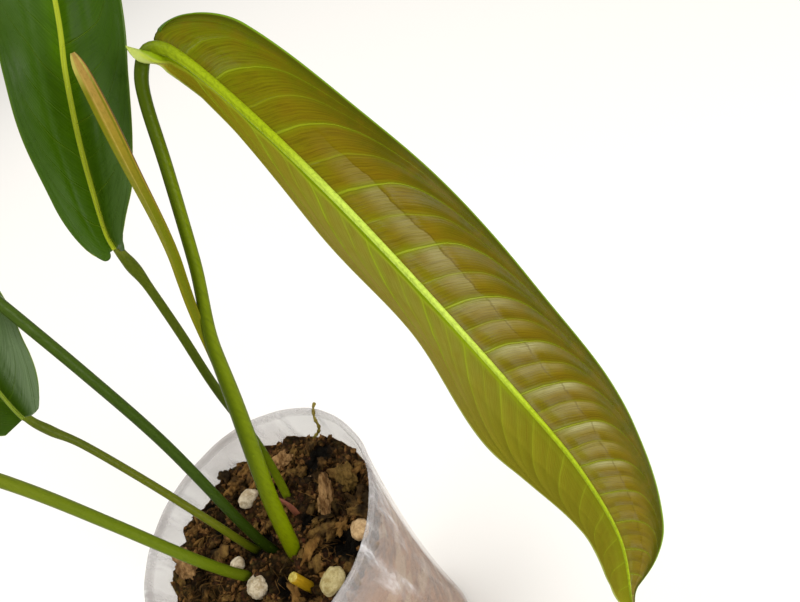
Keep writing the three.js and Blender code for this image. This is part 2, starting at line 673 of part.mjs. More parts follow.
const GRAINS = [
  { name: 'perlite_1', x: -5.6, y: 22, radius: 3.9, stretch: 1.15, angle: 20, flat: 0.9, seed: 11 },
  { name: 'perlite_2', x: -16, y: -2.6, radius: 2.9, stretch: 1.1, angle: 60, flat: 0.9, seed: 12 },
  { name: 'perlite_3', x: -9.6, y: -16, radius: 4.1, stretch: 1.15, angle: 100, flat: 0.85, seed: 13 },
  { name: 'perlite_4', x: 17.7, y: -31.2, radius: 4.3, stretch: 1.2, angle: 30, flat: 0.85, seed: 14 },
  { name: 'perlite_5', x: 32.5, y: -19, radius: 3.6, stretch: 1.1, angle: 70, flat: 0.9, seed: 15 },
  { name: 'bark_1', x: 24.5, y: 3.5, radius: 4.6, stretch: 2, angle: 75, flat: 0.5, seed: 21 },
  { name: 'bark_2', x: 35, y: 4.5, radius: 5, stretch: 1.5, angle: 95, flat: 0.6, seed: 22 },
  { name: 'bark_3', x: -36, y: 10, radius: 5, stretch: 1.6, angle: 110, flat: 0.6, seed: 23 },
  { name: 'bark_4', x: 10, y: 30, radius: 4.6, stretch: 1.5, angle: 5, flat: 0.6, seed: 24 },
];
const GRAIN_SMALLEST = 0.86;
const GRAIN_SPREAD = 0.24;
const GRAIN_SUNK = 0.25;
const GRAIN_CLEARANCE = 1.8 * GAP;
const PERLITE = '#d3c8b2';
const BARK = '#7d5a35';

function mixHeight(x, y) {
  const slope = MIX_SLOPE_X * x + MIX_SLOPE_Y * y;
  const coarse = Math.sin(0.23 * x + 0.9) * Math.cos(0.26 * y - 0.4);
  const fine = Math.sin(0.61 * x - 0.2 * y + 0.5) * Math.cos(0.52 * y + 0.33 * x);
  return MIX_LEVEL + slope + LUMP_HEIGHT * (0.65 * coarse + 0.55 * fine);
}

function grainGeometry(grain, extra) {
  const ball = new THREE.IcosahedronGeometry(1, 1);
  for (const name of ['normal', 'uv']) ball.deleteAttribute(name);
  const stone = mergeVertices(ball, TINY);
  const random = makeRandom(grain.seed);
  const position = stone.attributes.position;
  for (let i = 0; i < position.count; i += 1) {
    const length = grain.radius * (GRAIN_SMALLEST + GRAIN_SPREAD * random()) + extra;
    const p = new THREE.Vector3().fromBufferAttribute(position, i).multiplyScalar(length);
    position.setXYZ(i, p.x * grain.stretch, p.y / Math.sqrt(grain.stretch), p.z * grain.flat);
  }
  stone.rotateZ(THREE.MathUtils.degToRad(grain.angle));
  const sunk = GRAIN_SUNK * grain.radius * grain.flat;
  stone.translate(grain.x, grain.y, mixHeight(grain.x, grain.y) + sunk);
  stone.computeVertexNormals();
  return stone;
}

for (const grain of GRAINS) {
  const pale = grain.name.startsWith('perlite');
  addPart(grain.name, grainGeometry(grain, 0), pale ? PERLITE : BARK, 0.9);
  mixCutters.push(toSolid(grainGeometry(grain, GRAIN_CLEARANCE)));
}

// Potting mix: fills the pot to just under the rim, lumpy on top

const MIX_SEGMENTS = 34;
const MIX_RINGS = 8;
const MIX_EDGE = 133.5;
const MIX_WALL_GAP = 1.6 * GAP;

function mixGeometry() {
  const bottom = FLOOR + GAP;
  const sideRadius = (z) => potRadius(z) - WALL - MIX_WALL_GAP;
  const levels = [0, 1, 2, 3].map(wallLevel).concat(MIX_EDGE);
  const profile = [[0, bottom], [sideRadius(0) - FLOOR_ROUNDING, bottom]];
  for (const z of levels) profile.push([sideRadius(z), z]);
  for (let ring = MIX_RINGS; ring >= 0; ring -= 1) {
    profile.push([sideRadius(MIX_EDGE) * (ring / MIX_RINGS), MIX_LEVEL]);
  }
  const geometry = lathe(profile, MIX_SEGMENTS);
  const position = geometry.attributes.position;
  for (let i = 0; i < position.count; i += 1) {
    if (position.getZ(i) < MIX_LEVEL - 0.01) continue;
    position.setZ(i, mixHeight(position.getX(i), position.getY(i)));
  }
  let solid = toSolid(geometry);
  for (const cutter of mixCutters) solid = solid.subtract(cutter);
  return toGeometry(solid);
}

addPart('potting_mix', mixGeometry(), '#4e3720', 0.95);

export default model;
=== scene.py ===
# %% [markdown]
# # Potted philodendron
# The packed model is the frame: same metres, same origin under the pot, +Z up. It holds the plain
# solids that carry the physics. Every piece made below takes the place of one of its nodes, or
# lies on one, so the plant looks grown while its sizes stay those of the solids.

import math
import random

import bmesh
import bpy
import numpy as np
from mathutils import Matrix, Vector, noise


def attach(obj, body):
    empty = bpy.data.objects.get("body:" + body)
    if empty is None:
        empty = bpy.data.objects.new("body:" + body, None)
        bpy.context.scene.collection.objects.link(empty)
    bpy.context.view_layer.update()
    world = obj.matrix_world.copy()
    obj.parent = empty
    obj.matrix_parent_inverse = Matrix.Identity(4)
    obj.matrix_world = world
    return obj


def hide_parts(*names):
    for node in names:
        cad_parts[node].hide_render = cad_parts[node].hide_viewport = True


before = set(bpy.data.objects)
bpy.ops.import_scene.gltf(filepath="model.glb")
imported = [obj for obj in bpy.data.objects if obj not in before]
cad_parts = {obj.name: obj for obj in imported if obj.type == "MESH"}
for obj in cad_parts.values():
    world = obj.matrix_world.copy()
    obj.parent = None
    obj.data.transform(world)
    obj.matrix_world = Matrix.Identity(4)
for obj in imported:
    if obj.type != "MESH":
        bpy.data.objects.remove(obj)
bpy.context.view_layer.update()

# %% [markdown]
# ## Camera
# The camera stands where the photograph was taken from. It could be turned by eye until the pot's rim
# fits, but a place and three directions, fitted to the ellipse of the rim, are exact and easy to
# repeat. A camera looks along its own -Z. This one looks down at 41 degrees and is rolled, because
# the photograph shows the pot tilted.

# %% Camera
CAMERA_PLACE = (0.08996, -0.14648, 0.32833)
CAMERA_RIGHT = (0.8251733, -0.37346245, -0.42380989)
CAMERA_UP = (0.56487965, 0.54555203, 0.61909932)
CAMERA_BACK = (0.0, -0.7502658, 0.6611363)
SENSOR_WIDTH = 36.0
FOCAL_LENGTH = 28.125

camera_data = bpy.data.cameras.new("camera")
camera_data.sensor_width = SENSOR_WIDTH
camera_data.lens = FOCAL_LENGTH
camera_data.clip_start = 0.01
camera = bpy.data.objects.new("camera", camera_data)
bpy.context.scene.collection.objects.link(camera)
turn = Matrix((CAMERA_RIGHT, CAMERA_UP, CAMERA_BACK)).transposed().to_4x4()
camera.matrix_world = Matrix.Translation(CAMERA_PLACE) @ turn
bpy.context.scene.camera = camera
print("camera height in metres:", CAMERA_PLACE[2])

# %% [markdown]
# ## Materials as lists of layers
# A colour read from a screen is bent for the eye, but Blender mixes linear light, so each colour is
# turned into linear light first. A material could be joined up by hand in the node editor. Here a
# small class adds the nodes, so a material reads as a list of layers: a share, and a colour that
# is laid over the ones before it by that share.

# %% Colours
def rgb(red, green, blue):
    def linear(value):
        value /= 255
        return value / 12.92 if value <= 0.04045 else ((value + 0.055) / 1.055) ** 2.4
    return (linear(red), linear(green), linear(blue))


def palette(**colors):
    return {name: rgb(*color) for name, color in colors.items()}


print("mid grey in linear light:", round(rgb(128, 128, 128)[0], 3))

# %% Sums from nodes
class Nodes:
    """A new material with the nodes that do sums. Each method adds a node and gives its result."""

    def __init__(self, name):
        self.material = bpy.data.materials.new(name)
        self.material.use_nodes = True
        self.nodes = self.material.node_tree.nodes
        self.links = self.material.node_tree.links
        self.shader = self.nodes["Principled BSDF"]
        self.color = None

    def put(self, socket, value):
        if isinstance(value, bpy.types.NodeSocket):
            self.links.new(value, socket)
        elif socket.type == "RGBA":
            socket.default_value = (*value, 1.0)
        else:
            socket.default_value = value

    def math(self, operation, *values):
        node = self.nodes.new("ShaderNodeMath")
        node.operation = operation
        for socket, value in zip(node.inputs, values):
            self.put(socket, value)
        return node.outputs[0]

    def times(self, first, *others):
        for other in others:
            first = self.math("MULTIPLY", first, other)
        return first

    def plus(self, first, second):
        return self.math("ADD", first, second)

    def minus(self, first, second):
        return self.math("SUBTRACT", first, second)

    def scaled(self, value, factor, extra):
        return self.math("MULTIPLY_ADD", value, factor, extra)

    def away(self, value, middle):
        """Distance of a value from a middle value."""
        return self.math("ABSOLUTE", self.minus(value, middle))

    def span(self, value, low, high, start=0.0, end=1.0):
        """start below low, end above high, and a smooth change between them."""
        node = self.nodes.new("ShaderNodeMapRange")
        node.interpolation_type = "SMOOTHSTEP"
        for socket, number in zip(node.inputs, (value, low, high, start, end)):
            self.put(socket, number)
        return node.outputs[0]

    def fall(self, value, low, high):
        return self.span(value, low, high, 1.0, 0.0)


print("operations to call by name:", [name for name in vars(Nodes) if not name.startswith("_")])

# %% Textures and layers of colour
class Look(Nodes):
    """A procedural material whose colour is laid on in layers."""

    def mix(self, share, first, second, kind="MIX"):
        node = self.nodes.new("ShaderNodeMix")
        node.data_type = "RGBA"
        node.blend_type = kind
        self.put(node.inputs[0], share)
        self.put(node.inputs[6], first)
        self.put(node.inputs[7], second)
        return node.outputs[2]

    def over(self, share, color):
        """Lays a colour over the layers so far."""
        self.color = self.mix(share, self.color, color)

    def uv(self, layer):
        node = self.nodes.new("ShaderNodeUVMap")
        node.uv_map = layer
        split = self.nodes.new("ShaderNodeSeparateXYZ")
        self.links.new(node.outputs[0], split.inputs[0])
        return split.outputs[0], split.outputs[1]

    def place(self, scale=(1.0, 1.0, 1.0)):
        """The point on the object, in metres, stretched by scale."""
        node = self.nodes.new("ShaderNodeTexCoord")
        stretch = self.nodes.new("ShaderNodeMapping")
        stretch.inputs["Scale"].default_value = scale
        self.links.new(node.outputs["Object"], stretch.inputs["Vector"])
        return stretch.outputs[0]

    def height(self):
        """Height of the point above the floor, in metres."""
        split = self.nodes.new("ShaderNodeSeparateXYZ")
        self.links.new(self.place(), split.inputs[0])
        return split.outputs[2]

    def vector(self, x, y, z):
        node = self.nodes.new("ShaderNodeCombineXYZ")
        for socket, value in zip(node.inputs, (x, y, z)):
            self.put(socket, value)
        return node.outputs[0]

    def noise(self, vector, scale, detail=3.0, rough=0.5):
        node = self.nodes.new("ShaderNodeTexNoise")
        self.links.new(vector, node.inputs["Vector"])
        for name, value in {"Scale": scale, "Detail": detail, "Roughness": rough}.items():
            node.inputs[name].default_value = value
        return node.outputs[0]

    def cells(self, vector, scale):
        node = self.nodes.new("ShaderNodeTexVoronoi")
        self.links.new(vector, node.inputs["Vector"])
        node.inputs["Scale"].default_value = scale
        return node.outputs["Distance"], node.outputs["Color"]

    def bump(self, height, distance):
        node = self.nodes.new("ShaderNodeBump")
        node.inputs["Strength"].default_value = 1.0
        node.inputs["Distance"].default_value = distance
        self.links.new(height, node.inputs["Height"])
        return node.outputs[0]

    def finish(self, rough, relief, depth, gloss, **others):
        """Sets colour, roughness, a relief of the given depth in metres, and gloss."""
        values = {"Base Color": self.color, "Roughness": rough, "Normal": self.bump(relief, depth),
                  "Specular IOR Level": gloss, **others}
        for name, value in values.items():
            self.put(self.shader.inputs[name], value)
        return self.material


print("textures to call by name:", [name for name in vars(Look) if not name.startswith("_")])

# %% [markdown]
# ## Bodies from rings
# Stalks, sheath, pot and fibres are one kind of body: rings of points along a curve, joined by
# four-sided faces. A bevelled curve object could do it too, but rings let the section change on
# the way, as a petiole swells below its blade. Points are in millimetres here and turned into
# metres when a piece is made.

# %% Pieces
MM_PER_METRE = 1000


def add_piece(name, points, faces, materials, uvs=None, material_index=None):
    """A mesh object from points in millimetres, riding on the plant's one body."""
    mesh = bpy.data.meshes.new(name)
    mesh.from_pydata((np.asarray(points) / MM_PER_METRE).tolist(), [], [list(face) for face in faces])
    corner = np.empty(len(mesh.loops), dtype=np.int32)
    mesh.loops.foreach_get("vertex_index", corner)
    for layer, values in (uvs or {}).items():
        data = mesh.uv_layers.new(name=layer).data
        data.foreach_set("uv", np.asarray(values, dtype=np.float32)[corner].ravel())
    for material in materials:
        mesh.materials.append(material)
    if material_index is not None:
        mesh.polygons.foreach_set("material_index", np.asarray(material_index, dtype=np.int32))
    mesh.polygons.foreach_set("use_smooth", [True] * len(mesh.polygons))
    mesh.validate()
    mesh.update()
    piece = bpy.data.objects.new(name, mesh)
    bpy.context.scene.collection.objects.link(piece)
    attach(piece, "root")
    print(name, "faces:", len(mesh.polygons))
    return piece


print("one millimetre in metres:", 1 / MM_PER_METRE)

# %% Grids and tubes
def grid_faces(rows, columns, first=0, closed=False, flip=False):
    """Four-sided faces between the points of a grid. Closed joins the last column to the first."""
    faces = []
    for i in range(rows - 1):
        for j in range(columns if closed else columns - 1):
            a = first + i * columns + j
            b = first + i * columns + (j + 1) % columns
            face = (a, b, b + columns, a + columns)
            faces.append(face[::-1] if flip else face)
    return faces


def tube(rings):
    """Points and faces of a closed body through rings of equally many points."""
    rings = np.asarray(rings)
    count, sides = rings.shape[:2]
    points = np.vstack([rings.reshape(-1, 3), rings[:1].mean(axis=1), rings[-1:].mean(axis=1)])
    faces = grid_faces(count, sides, closed=True)
    low, high = count * sides, count * sides + 1
    last = (count - 1) * sides
    for k in range(sides):
        after = (k + 1) % sides
        faces.append((low, after, k))
        faces.append((high, last + k, last + after))
    return points, faces


print("faces of an open grid of 3 by 4 points:", len(grid_faces(3, 4)))

# %% Rings and their layers
def turned_out(body):
    """The same body with its faces turned the other way."""
    points, faces = body
    return points, [face[::-1] for face in faces]


def around(sides):
    """Even angles round a circle."""
    return np.linspace(0, 2 * np.pi, sides, endpoint=False)


def rings_round(centre, across, second, reach, rise):
    """Rings of points round a line of centres: reach goes along across, and rise along second."""
    return (centre[:, None, :] + across[:, None, :] * reach[..., None]
            + second[:, None, :] * rise[..., None])


def tube_uv(along, across):
    """One layer of a tube: a value along it and one across it, with the two end points last."""
    uv = np.stack(np.broadcast_arrays(along, across), -1).reshape(-1, 2)
    return np.vstack([uv, uv[:1], uv[-1:]])


print("angles of a square ring:", np.degrees(around(4)).tolist())

# %% Smooth values and ways
def cubic(u, start, end, a, b):
    """A smooth way from start to end, with the slopes a and b there."""
    return ((2 * start - 2 * end + a + b) * u**3
            + (-3 * start + 3 * end - 2 * a - b) * u**2 + a * u + start)


def smooth_at(table, x, column=1):
    """Value at x of the smooth curve through the rows of a table."""
    rows = np.array(table, float)
    xs, ys = rows[:, 0], rows[:, column]
    slopes = np.empty(len(xs))
    slopes[1:-1] = (ys[2:] - ys[:-2]) / (xs[2:] - xs[:-2])
    slopes[0] = (ys[1] - ys[0]) / (xs[1] - xs[0])
    slopes[-1] = (ys[-1] - ys[-2]) / (xs[-1] - xs[-2])
    x = np.clip(x, xs[0], xs[-1])
    i = np.clip(np.searchsorted(xs, x, side="right") - 1, 0, len(xs) - 2)
    step = xs[i + 1] - xs[i]
    u = (x - xs[i]) / step
    return ((2 * u**3 - 3 * u**2 + 1) * ys[i] + (u**3 - 2 * u**2 + u) * step * slopes[i]
            + (3 * u**2 - 2 * u**3) * ys[i + 1] + (u**3 - u**2) * step * slopes[i + 1])


def smooth_step(x, low, high):
    u = np.clip((x - low) / (high - low), 0, 1)
    return u * u * (3 - 2 * u)


def unit(vectors):
    return vectors / np.linalg.norm(vectors, axis=-1, keepdims=True)


def square_to(along, vector):
    """The part of a vector that stands square to a way, with length one."""
    return unit(vector - (along * vector).sum(-1, keepdims=True) * along)


print("a step from 0 to 1, a quarter of the way:", smooth_step(0.25, 0, 1))

# %% Smooth curves
DIRECTION_STEP = 0.8


class Curve:
    """A smooth curve through points, measured by its own length in millimetres."""

    def __init__(self, points, samples=1600):
        p = np.array(points, float)
        p = np.vstack([2 * p[0] - p[1], p, 2 * p[-1] - p[-2]])
        self.index = np.linspace(0, len(points) - 1, samples)
        i = np.minimum(self.index.astype(int), len(points) - 2)
        u = (self.index - i)[:, None]
        before, start, end, after = p[i], p[i + 1], p[i + 2], p[i + 3]
        self.points = cubic(u, start, end, (end - before) / 2, (after - start) / 2)
        steps = np.linalg.norm(np.diff(self.points, axis=0), axis=1)
        self.lengths = np.concatenate([[0], np.cumsum(steps)])
        self.length = self.lengths[-1]

    def length_at(self, index):
        return np.interp(index, self.index, self.lengths)

    def place(self, length):
        return np.stack([np.interp(length, self.lengths, self.points[:, c]) for c in range(3)], -1)

    def direction(self, length):
        ahead = np.minimum(np.asarray(length) + DIRECTION_STEP, self.length)
        behind = np.maximum(np.asarray(length) - DIRECTION_STEP, 0)
        return unit(self.place(ahead) - self.place(behind))


print("length of a curve over a square corner:", round(Curve([(0, 0, 0), (1, 0, 0), (1, 1, 0)]).length, 3))

# %% [markdown]
# ## Leaves
# A real leaf is a thin sheet on a long stalk, which runs on through the sheet as its midrib. A plane
# bent by modifiers could pass for one, but these leaves turn, fold and narrow all at once. So each
# is worked out from a few rows of numbers, the same as in the solids. A spine runs from the crown up
# the petiole and on along the midrib; "start" is where on it the blade begins. A fold row gives the
# angle of one half of the blade at the midrib and at the margin.

# %% Main leaf
LEAVES = {}
LEAVES["leaf_1"] = {
    "spine": [
        (5.2, -6.8, 113.3), (5.2, -6.8, 119), (6.5, -9.5, 137), (17.5, -2, 167), (29, 6.5, 197),
        (38, 13, 221), (48, 19.5, 242.5), (57.5, 27, 264), (63.8, 34, 279.2),
        (67.8, 37.5, 285.3), (73.1, 37.1, 288.6), (78.2, 31.9, 285), (84.3, 16.9, 270.2),
        (90.7, -2.1, 247.2), (96.9, -24.3, 216.7), (102.1, -46, 185.2), (104.7, -60.4, 162.8),
        (103.4, -73.3, 142.1), (96.4, -82.6, 125.5), (94.5, -84.8, 121.9),
    ],
    "start": 10.35, "petiole": (2.3, 1.85, 0.1), "rib": 1.85,
    "width": [(0, 15), (0.1, 18), (0.25, 21.7), (0.4, 25.5), (0.54, 25.7), (0.69, 25),
              (0.8, 20.6), (0.88, 13.4), (0.94, 8.7), (0.965, 6.8), (0.985, 4), (1, 0.8)],
    "right_width": [(0, 15), (0.1, 18), (0.25, 21.7), (0.4, 25.5), (0.54, 25.7), (0.69, 25),
                    (0.8, 20.6), (0.9, 14.2), (0.93, 10.5), (0.95, 6.8), (0.967, 2.6), (1, 0.8)],
    "face": [(0, 0, -0.75, 0.66), (1, 0, -0.75, 0.66)],
    "right": [(0, -12, -44), (0.12, -12, 0), (0.3, -8, 20), (0.5, 0, 28), (0.7, 2, 30),
              (0.85, -3, 25), (1, -3, 25)],
    "left": [(0, -40, -50), (0.012, 50, 60), (0.025, 63, 69), (0.06, 65, 75), (0.12, 63, 81),
             (0.3, 56, 73), (0.5, 58, 74), (0.7, 40, 55), (0.85, 44, 60), (1, 41, 57)],
    "lobes": (2.0, 0), "wave": (0.6, 5, 1.2, 2.1), "quilt": 0.8, "grid": (300, 40),
    "auricle": (-3.9, -3.9, 8), "narrowing": (0.93, 0.95), "rounding": (0.075, 0.2),
}
print("points on its spine:", len(LEAVES["leaf_1"]["spine"]))

# %% Tall leaf behind
LEAVES["leaf_2"] = {
    "spine": [
        (5, 3.2, 113.3), (5, 3.2, 119), (9.6, 15, 137), (16.4, 18.6, 165), (21, 21.5, 195),
        (23.3, 32, 215), (24, 43, 231), (23.6, 47.5, 237.5), (24, 49.5, 244), (26.5, 51.5, 252),
        (36.5, 57, 272), (47.5, 60, 290), (57.5, 62, 304), (76, 65, 334), (90, 61, 362),
        (99, 51, 384), (103, 41, 397),
    ],
    "start": 8, "petiole": (1.8, 1.55, 0.75), "rib": 1.6,
    "width": [(0, 9.5), (0.12, 12.4), (0.25, 15), (0.4, 16.8), (0.55, 17), (0.7, 16),
              (0.82, 13.2), (0.92, 8.3), (1, 0.8)],
    "right_width": [(0, 9.5), (0.06, 13.7), (0.12, 18), (0.2, 19.8), (0.31, 19.7), (0.4, 18.8),
                    (0.55, 18.6), (0.7, 17.5), (0.82, 14.5), (0.92, 9), (1, 0.8)],
    "face": [(0, 0.1, 0.82, -0.55), (0.35, 0.1, 0.82, -0.55), (1, 0.35, 0.75, 0.1)],
    "right": [(0, 35, 22), (0.15, 30, 15), (0.35, 8, -5), (0.6, 20, 8), (1, 30, 18)],
    "left": [(0, 50, 36), (0.15, 52, 38), (0.3, 55, 40), (0.5, 50, 34), (1, 35, 22)],
    "lobes": (1.2, 1.9), "wave": (0.9, 4, 0.4, 2.6), "quilt": 0.35, "grid": (200, 28),
    "narrowing": (0.85, 0.72), "rounding": (0.14, 0.1),
}
print("points on its spine:", len(LEAVES["leaf_2"]["spine"]))

# %% Leaf at the left
LEAVES["leaf_3"] = {
    "spine": [
        (-6.8, 1, 113.3), (-6.8, 1, 119), (-9, 1, 137), (-9.5, 2, 160), (-16.2, 12.2, 184.7),
        (-22.5, 20.5, 207), (-26, 23, 217.5), (-28, 25.5, 225.5), (-28.3, 32, 237), (-27, 46, 259),
        (-26, 62, 288), (-28, 75, 318), (-34, 83, 346), (-42, 86, 370),
    ],
    "start": 7, "petiole": (1.6, 1.3, 0.35), "rib": 1.5,
    "width": [(0, 15.5), (0.12, 17.5), (0.2, 21), (0.3, 23.5), (0.4, 24), (0.55, 23.2), (0.7, 21.5),
              (0.82, 17.5), (0.92, 10.8), (1, 0.8)],
    "face": [(0, 0.1, 0.75, -0.66), (0.5, 0.1, 0.75, -0.5), (1, -0.3, 0.7, 0.1)],
    "right": [(0, 8, -6), (0.3, 10, 0), (1, 30, 18)],
    "left": [(0, 68, 60), (0.3, 50, 35), (1, 30, 18)],
    "lobes": (0.8, 0), "wave": (0.8, 4, 1.4, 0.2), "quilt": 0.35, "grid": (190, 26),
}
print("points on its spine:", len(LEAVES["leaf_3"]["spine"]))

# %% Dark leaf that arches over
LEAVES["leaf_4"] = {
    "spine": [
        (-1, -2.2, 113.3), (-1, -2.2, 119), (-1.8, -4.1, 137), (-1.1, -1.3, 157),
        (1.3, 7.9, 198), (1.2, 15, 234), (-1, 24, 272), (-2.5, 27, 284), (-8, 28.5, 295),
        (-16, 28, 301), (-38, 24, 306), (-74, 16, 301), (-106, 6, 276), (-128, -3, 240),
        (-140, -9, 200),
    ],
    "start": 8, "petiole": (2.0, 1.7, 0.25), "rib": 1.8,
    "width": [(0, 14), (0.12, 18), (0.25, 22), (0.4, 25.5), (0.55, 25.7), (0.7, 24.5),
              (0.82, 20), (0.92, 12.5), (1, 0.8)],
    "face": [(0, -0.5, 0, -0.6), (0.35, 0, 0, -1), (1, 0.85, 0, -0.5)],
    "right": [(0, 25, 15), (1, 28, 18)],
    "left": [(0, 25, 15), (1, 28, 18)],
    "lobes": (2.5, 2.5), "wave": (0.9, 5, 0.9, 2.9), "quilt": 0.4, "grid": (210, 28),
}
print("points on its spine:", len(LEAVES["leaf_4"]["spine"]))

# %% Light leaf that arches over
LEAVES["leaf_5"] = {
    "spine": [
        (-7, -6.6, 113.3), (-7, -6.6, 119), (-13, -8.5, 137), (-16.5, -9.5, 162),
        (-23, -5, 193), (-27, -3.5, 221), (-29.5, -5, 242), (-31, -9, 256), (-34.5, -15, 264),
        (-39, -24, 269), (-52, -50, 268), (-64, -78, 248), (-72, -101, 218), (-76, -116, 184),
    ],
    "start": 8, "petiole": (2.05, 1.9, 0.25), "rib": 1.9,
    "width": [(0, 12.3), (0.12, 15.8), (0.25, 19.4), (0.4, 22.4), (0.55, 22.6), (0.7, 21.6),
              (0.82, 17.6), (0.92, 11), (1, 0.8)],
    "face": [(0, -0.2, -0.4, -0.7), (0.35, 0, 0, -1), (1, 0.3, 0.8, -0.5)],
    "right": [(0, 25, 15), (1, 28, 18)],
    "left": [(0, 25, 15), (1, 28, 18)],
    "lobes": (1.8, 1.8), "wave": (0.8, 4, 2.2, 0.5), "quilt": 0.35, "grid": (190, 26),
}
print("leaves:", list(LEAVES))

# %% Line of the sheath beside the main petiole
SHEATH_SPINE = [
    (-0.2, -8.6, 113.3), (-0.2, -8.6, 119), (1.6, -8.2, 137), (13, -0.4, 168.2), (24.4, 8.1, 198.2),
    (32.3, 13, 220), (42, 14.9, 240.2), (46.4, 18.5, 252.4), (50.7, 26.6, 270.7),
    (53.8, 35.1, 284.8), (56.1, 42.9, 296.8),
]
print("height of its tip in millimetres:", SHEATH_SPINE[-1][2])

# %% Widths and ways of a blade
TIP_RIB = 0.5
RIB_TAPER = [(0, 1), (0.05, 0.78), (0.3, 0.56), (0.5, 0.46), (0.7, 0.38), (1, 0.16)]
RIGHT, LEFT = 1, -1


def of_side(pair, side):
    """The right half's value comes first in every pair."""
    return pair[0] if side == RIGHT else pair[1]


def solid_rib(leaf, s):
    return leaf["rib"] + (TIP_RIB - leaf["rib"]) * s


def rib_radius(leaf, s):
    return leaf["rib"] * smooth_at(RIB_TAPER, s)


def half_width(leaf, s, side):
    narrowing = of_side(leaf.get("narrowing", (0.8, 0.8)), side)
    rounding = of_side(leaf.get("rounding", (0.11, 0.11)), side)
    near_base = np.clip(1 - s / rounding, 0, 1)
    table = of_side((leaf.get("right_width", leaf["width"]), leaf["width"]), side)
    return smooth_at(table, s) * np.sqrt(1 - narrowing * near_base**2)


def blade_length(leaf, curve):
    return curve.length - curve.length_at(leaf["start"])


def blade_frame(leaf, curve, s):
    """Place on the midrib, way to the tip, way of the underside and way to the left half."""
    length = curve.length_at(leaf["start"]) + s * blade_length(leaf, curve)
    along = curve.direction(length)
    rows = np.array(leaf["face"], float)
    under = np.stack([np.interp(s, rows[:, 0], rows[:, c]) for c in (1, 2, 3)], -1)
    under = square_to(along, under)
    return curve.place(length), along, under, np.cross(along, under)


main_curve = Curve(LEAVES["leaf_1"]["spine"])
print("main blade, length and half width in millimetres:",
      round(float(blade_length(LEAVES["leaf_1"], main_curve)), 1),
      round(float(half_width(LEAVES["leaf_1"], 0.5, RIGHT)), 1))

# %% [markdown]
# ## Side veins
# Each point of a blade gets a number that grows by one from a side vein to the next. The mesh uses
# it to swell the panels between veins, and the material to draw the veins, so the two always agree.
# Drawing them on the surface would leave the panels flat, and they catch the light in this plant.

# %% Count of side veins
VEIN_SPACING = 10.9
LATER_CLOSER = (0.43, 5.1)
LAST_CLOSER = (0.75, 3)
VEIN_PHASE = (0.4, 1.37)
VEIN_SWEEP = (1.0, 1.25)
VEIN_LEAN = (0.42, 0.85)


def vein_count(leaf, curve, length):
    """Number of side veins up to a length of the midrib: they stand closer towards the tip."""
    share = np.clip(length / blade_length(leaf, curve), -0.2, 1.2)
    spacing = VEIN_SPACING
    for start, closer in (LATER_CLOSER, LAST_CLOSER):
        spacing = spacing - closer * np.maximum(share - start, 0)
    return length / spacing


def veins_of_half(leaf, curve, s, v, width, side):
    """Count of veins over a half. They lean to the tip, and run along the margin at the end."""
    forward = of_side(VEIN_LEAN, side) * v + 0.55 * v**3 + 1.6 * v**10
    length = s * blade_length(leaf, curve) - of_side(VEIN_SWEEP, side) * width * forward
    return vein_count(leaf, curve, length) + of_side(VEIN_PHASE, side)


print("side veins to the tip of the main blade:",
      round(float(vein_count(LEAVES["leaf_1"], main_curve, blade_length(LEAVES["leaf_1"], main_curve))), 1))

# %% [markdown]
# ## Blades
# A blade is two halves that rise from the midrib, each bent its own way, with waves at the margin
# and panels that swell between the veins. Sculpting could give that, but not the same widths as the
# solids. So a grid of points is worked out across both halves and given two sides and a rim.

# %% One half of a blade
RIB_SEAT = 0.75
SOLID_CLEARANCE = 0.7
FLAT_BELOW_WIDTH = 6
SMALLEST_BEND = 1e-4
LOBE_REACH = 0.14
FOOT_REACH = 1.25
LARGEST_FOOT_SHARE = 0.5
AURICLE_LENGTH = 0.054


def blade_half(leaf, curve, s, v, side):
    """Middle surface of one half, with its count of veins."""
    place, along, under, left = (x[:, None, :] for x in blade_frame(leaf, curve, s))
    s2, v2 = s[:, None], v[None, :]
    width = half_width(leaf, s, side)[:, None]
    fold = leaf["right" if side == RIGHT else "left"]
    flatten = np.minimum(1, width / FLAT_BELOW_WIDTH)
    at_rib = np.radians(smooth_at(fold, s, 1))[:, None] * flatten
    at_margin = np.radians(smooth_at(fold, s, 2))[:, None] * flatten
    bend = at_margin - at_rib
    bend = np.where(np.abs(bend) < SMALLEST_BEND, SMALLEST_BEND, bend)
    out = width * (np.sin(at_rib + bend * v2) - np.sin(at_rib)) / bend
    up = -width * (np.cos(at_rib + bend * v2) - np.cos(at_rib)) / bend
    height, count, *phases = leaf["wave"]
    turns = 2 * np.pi * count * s2 + of_side(phases, side)
    ripple = height * v2**2 * np.sqrt(np.sin(np.pi * s2).clip(0)) * np.sin(turns)
    rib, solid = rib_radius(leaf, s)[:, None], solid_rib(leaf, s)[:, None]
    foot = np.minimum(FOOT_REACH * solid / width, LARGEST_FOOT_SHARE)
    beyond = np.clip((v2 - foot) / (1 - foot), 0, 1)
    lobe = (of_side(leaf["lobes"], side) * np.clip(1 - s2 / LOBE_REACH, 0, 1) ** 2
            * np.sqrt((1 - (2 * beyond - 1) ** 2).clip(0)))
    back = solid + SOLID_CLEARANCE
    behind = back - (back - RIB_SEAT * rib) * (1 - v2) ** 2
    points = (place + left * (-side * out)[..., None] - under * (behind + up + ripple)[..., None]
              - along * lobe[..., None])
    if side == LEFT and "auricle" in leaf:
        pull = np.clip(1 - s2 / AURICLE_LENGTH, 0, 1) * v2**2
        points = points + pull[..., None] * np.array(leaf["auricle"])
    return points, veins_of_half(leaf, curve, s2, v2, width, side)


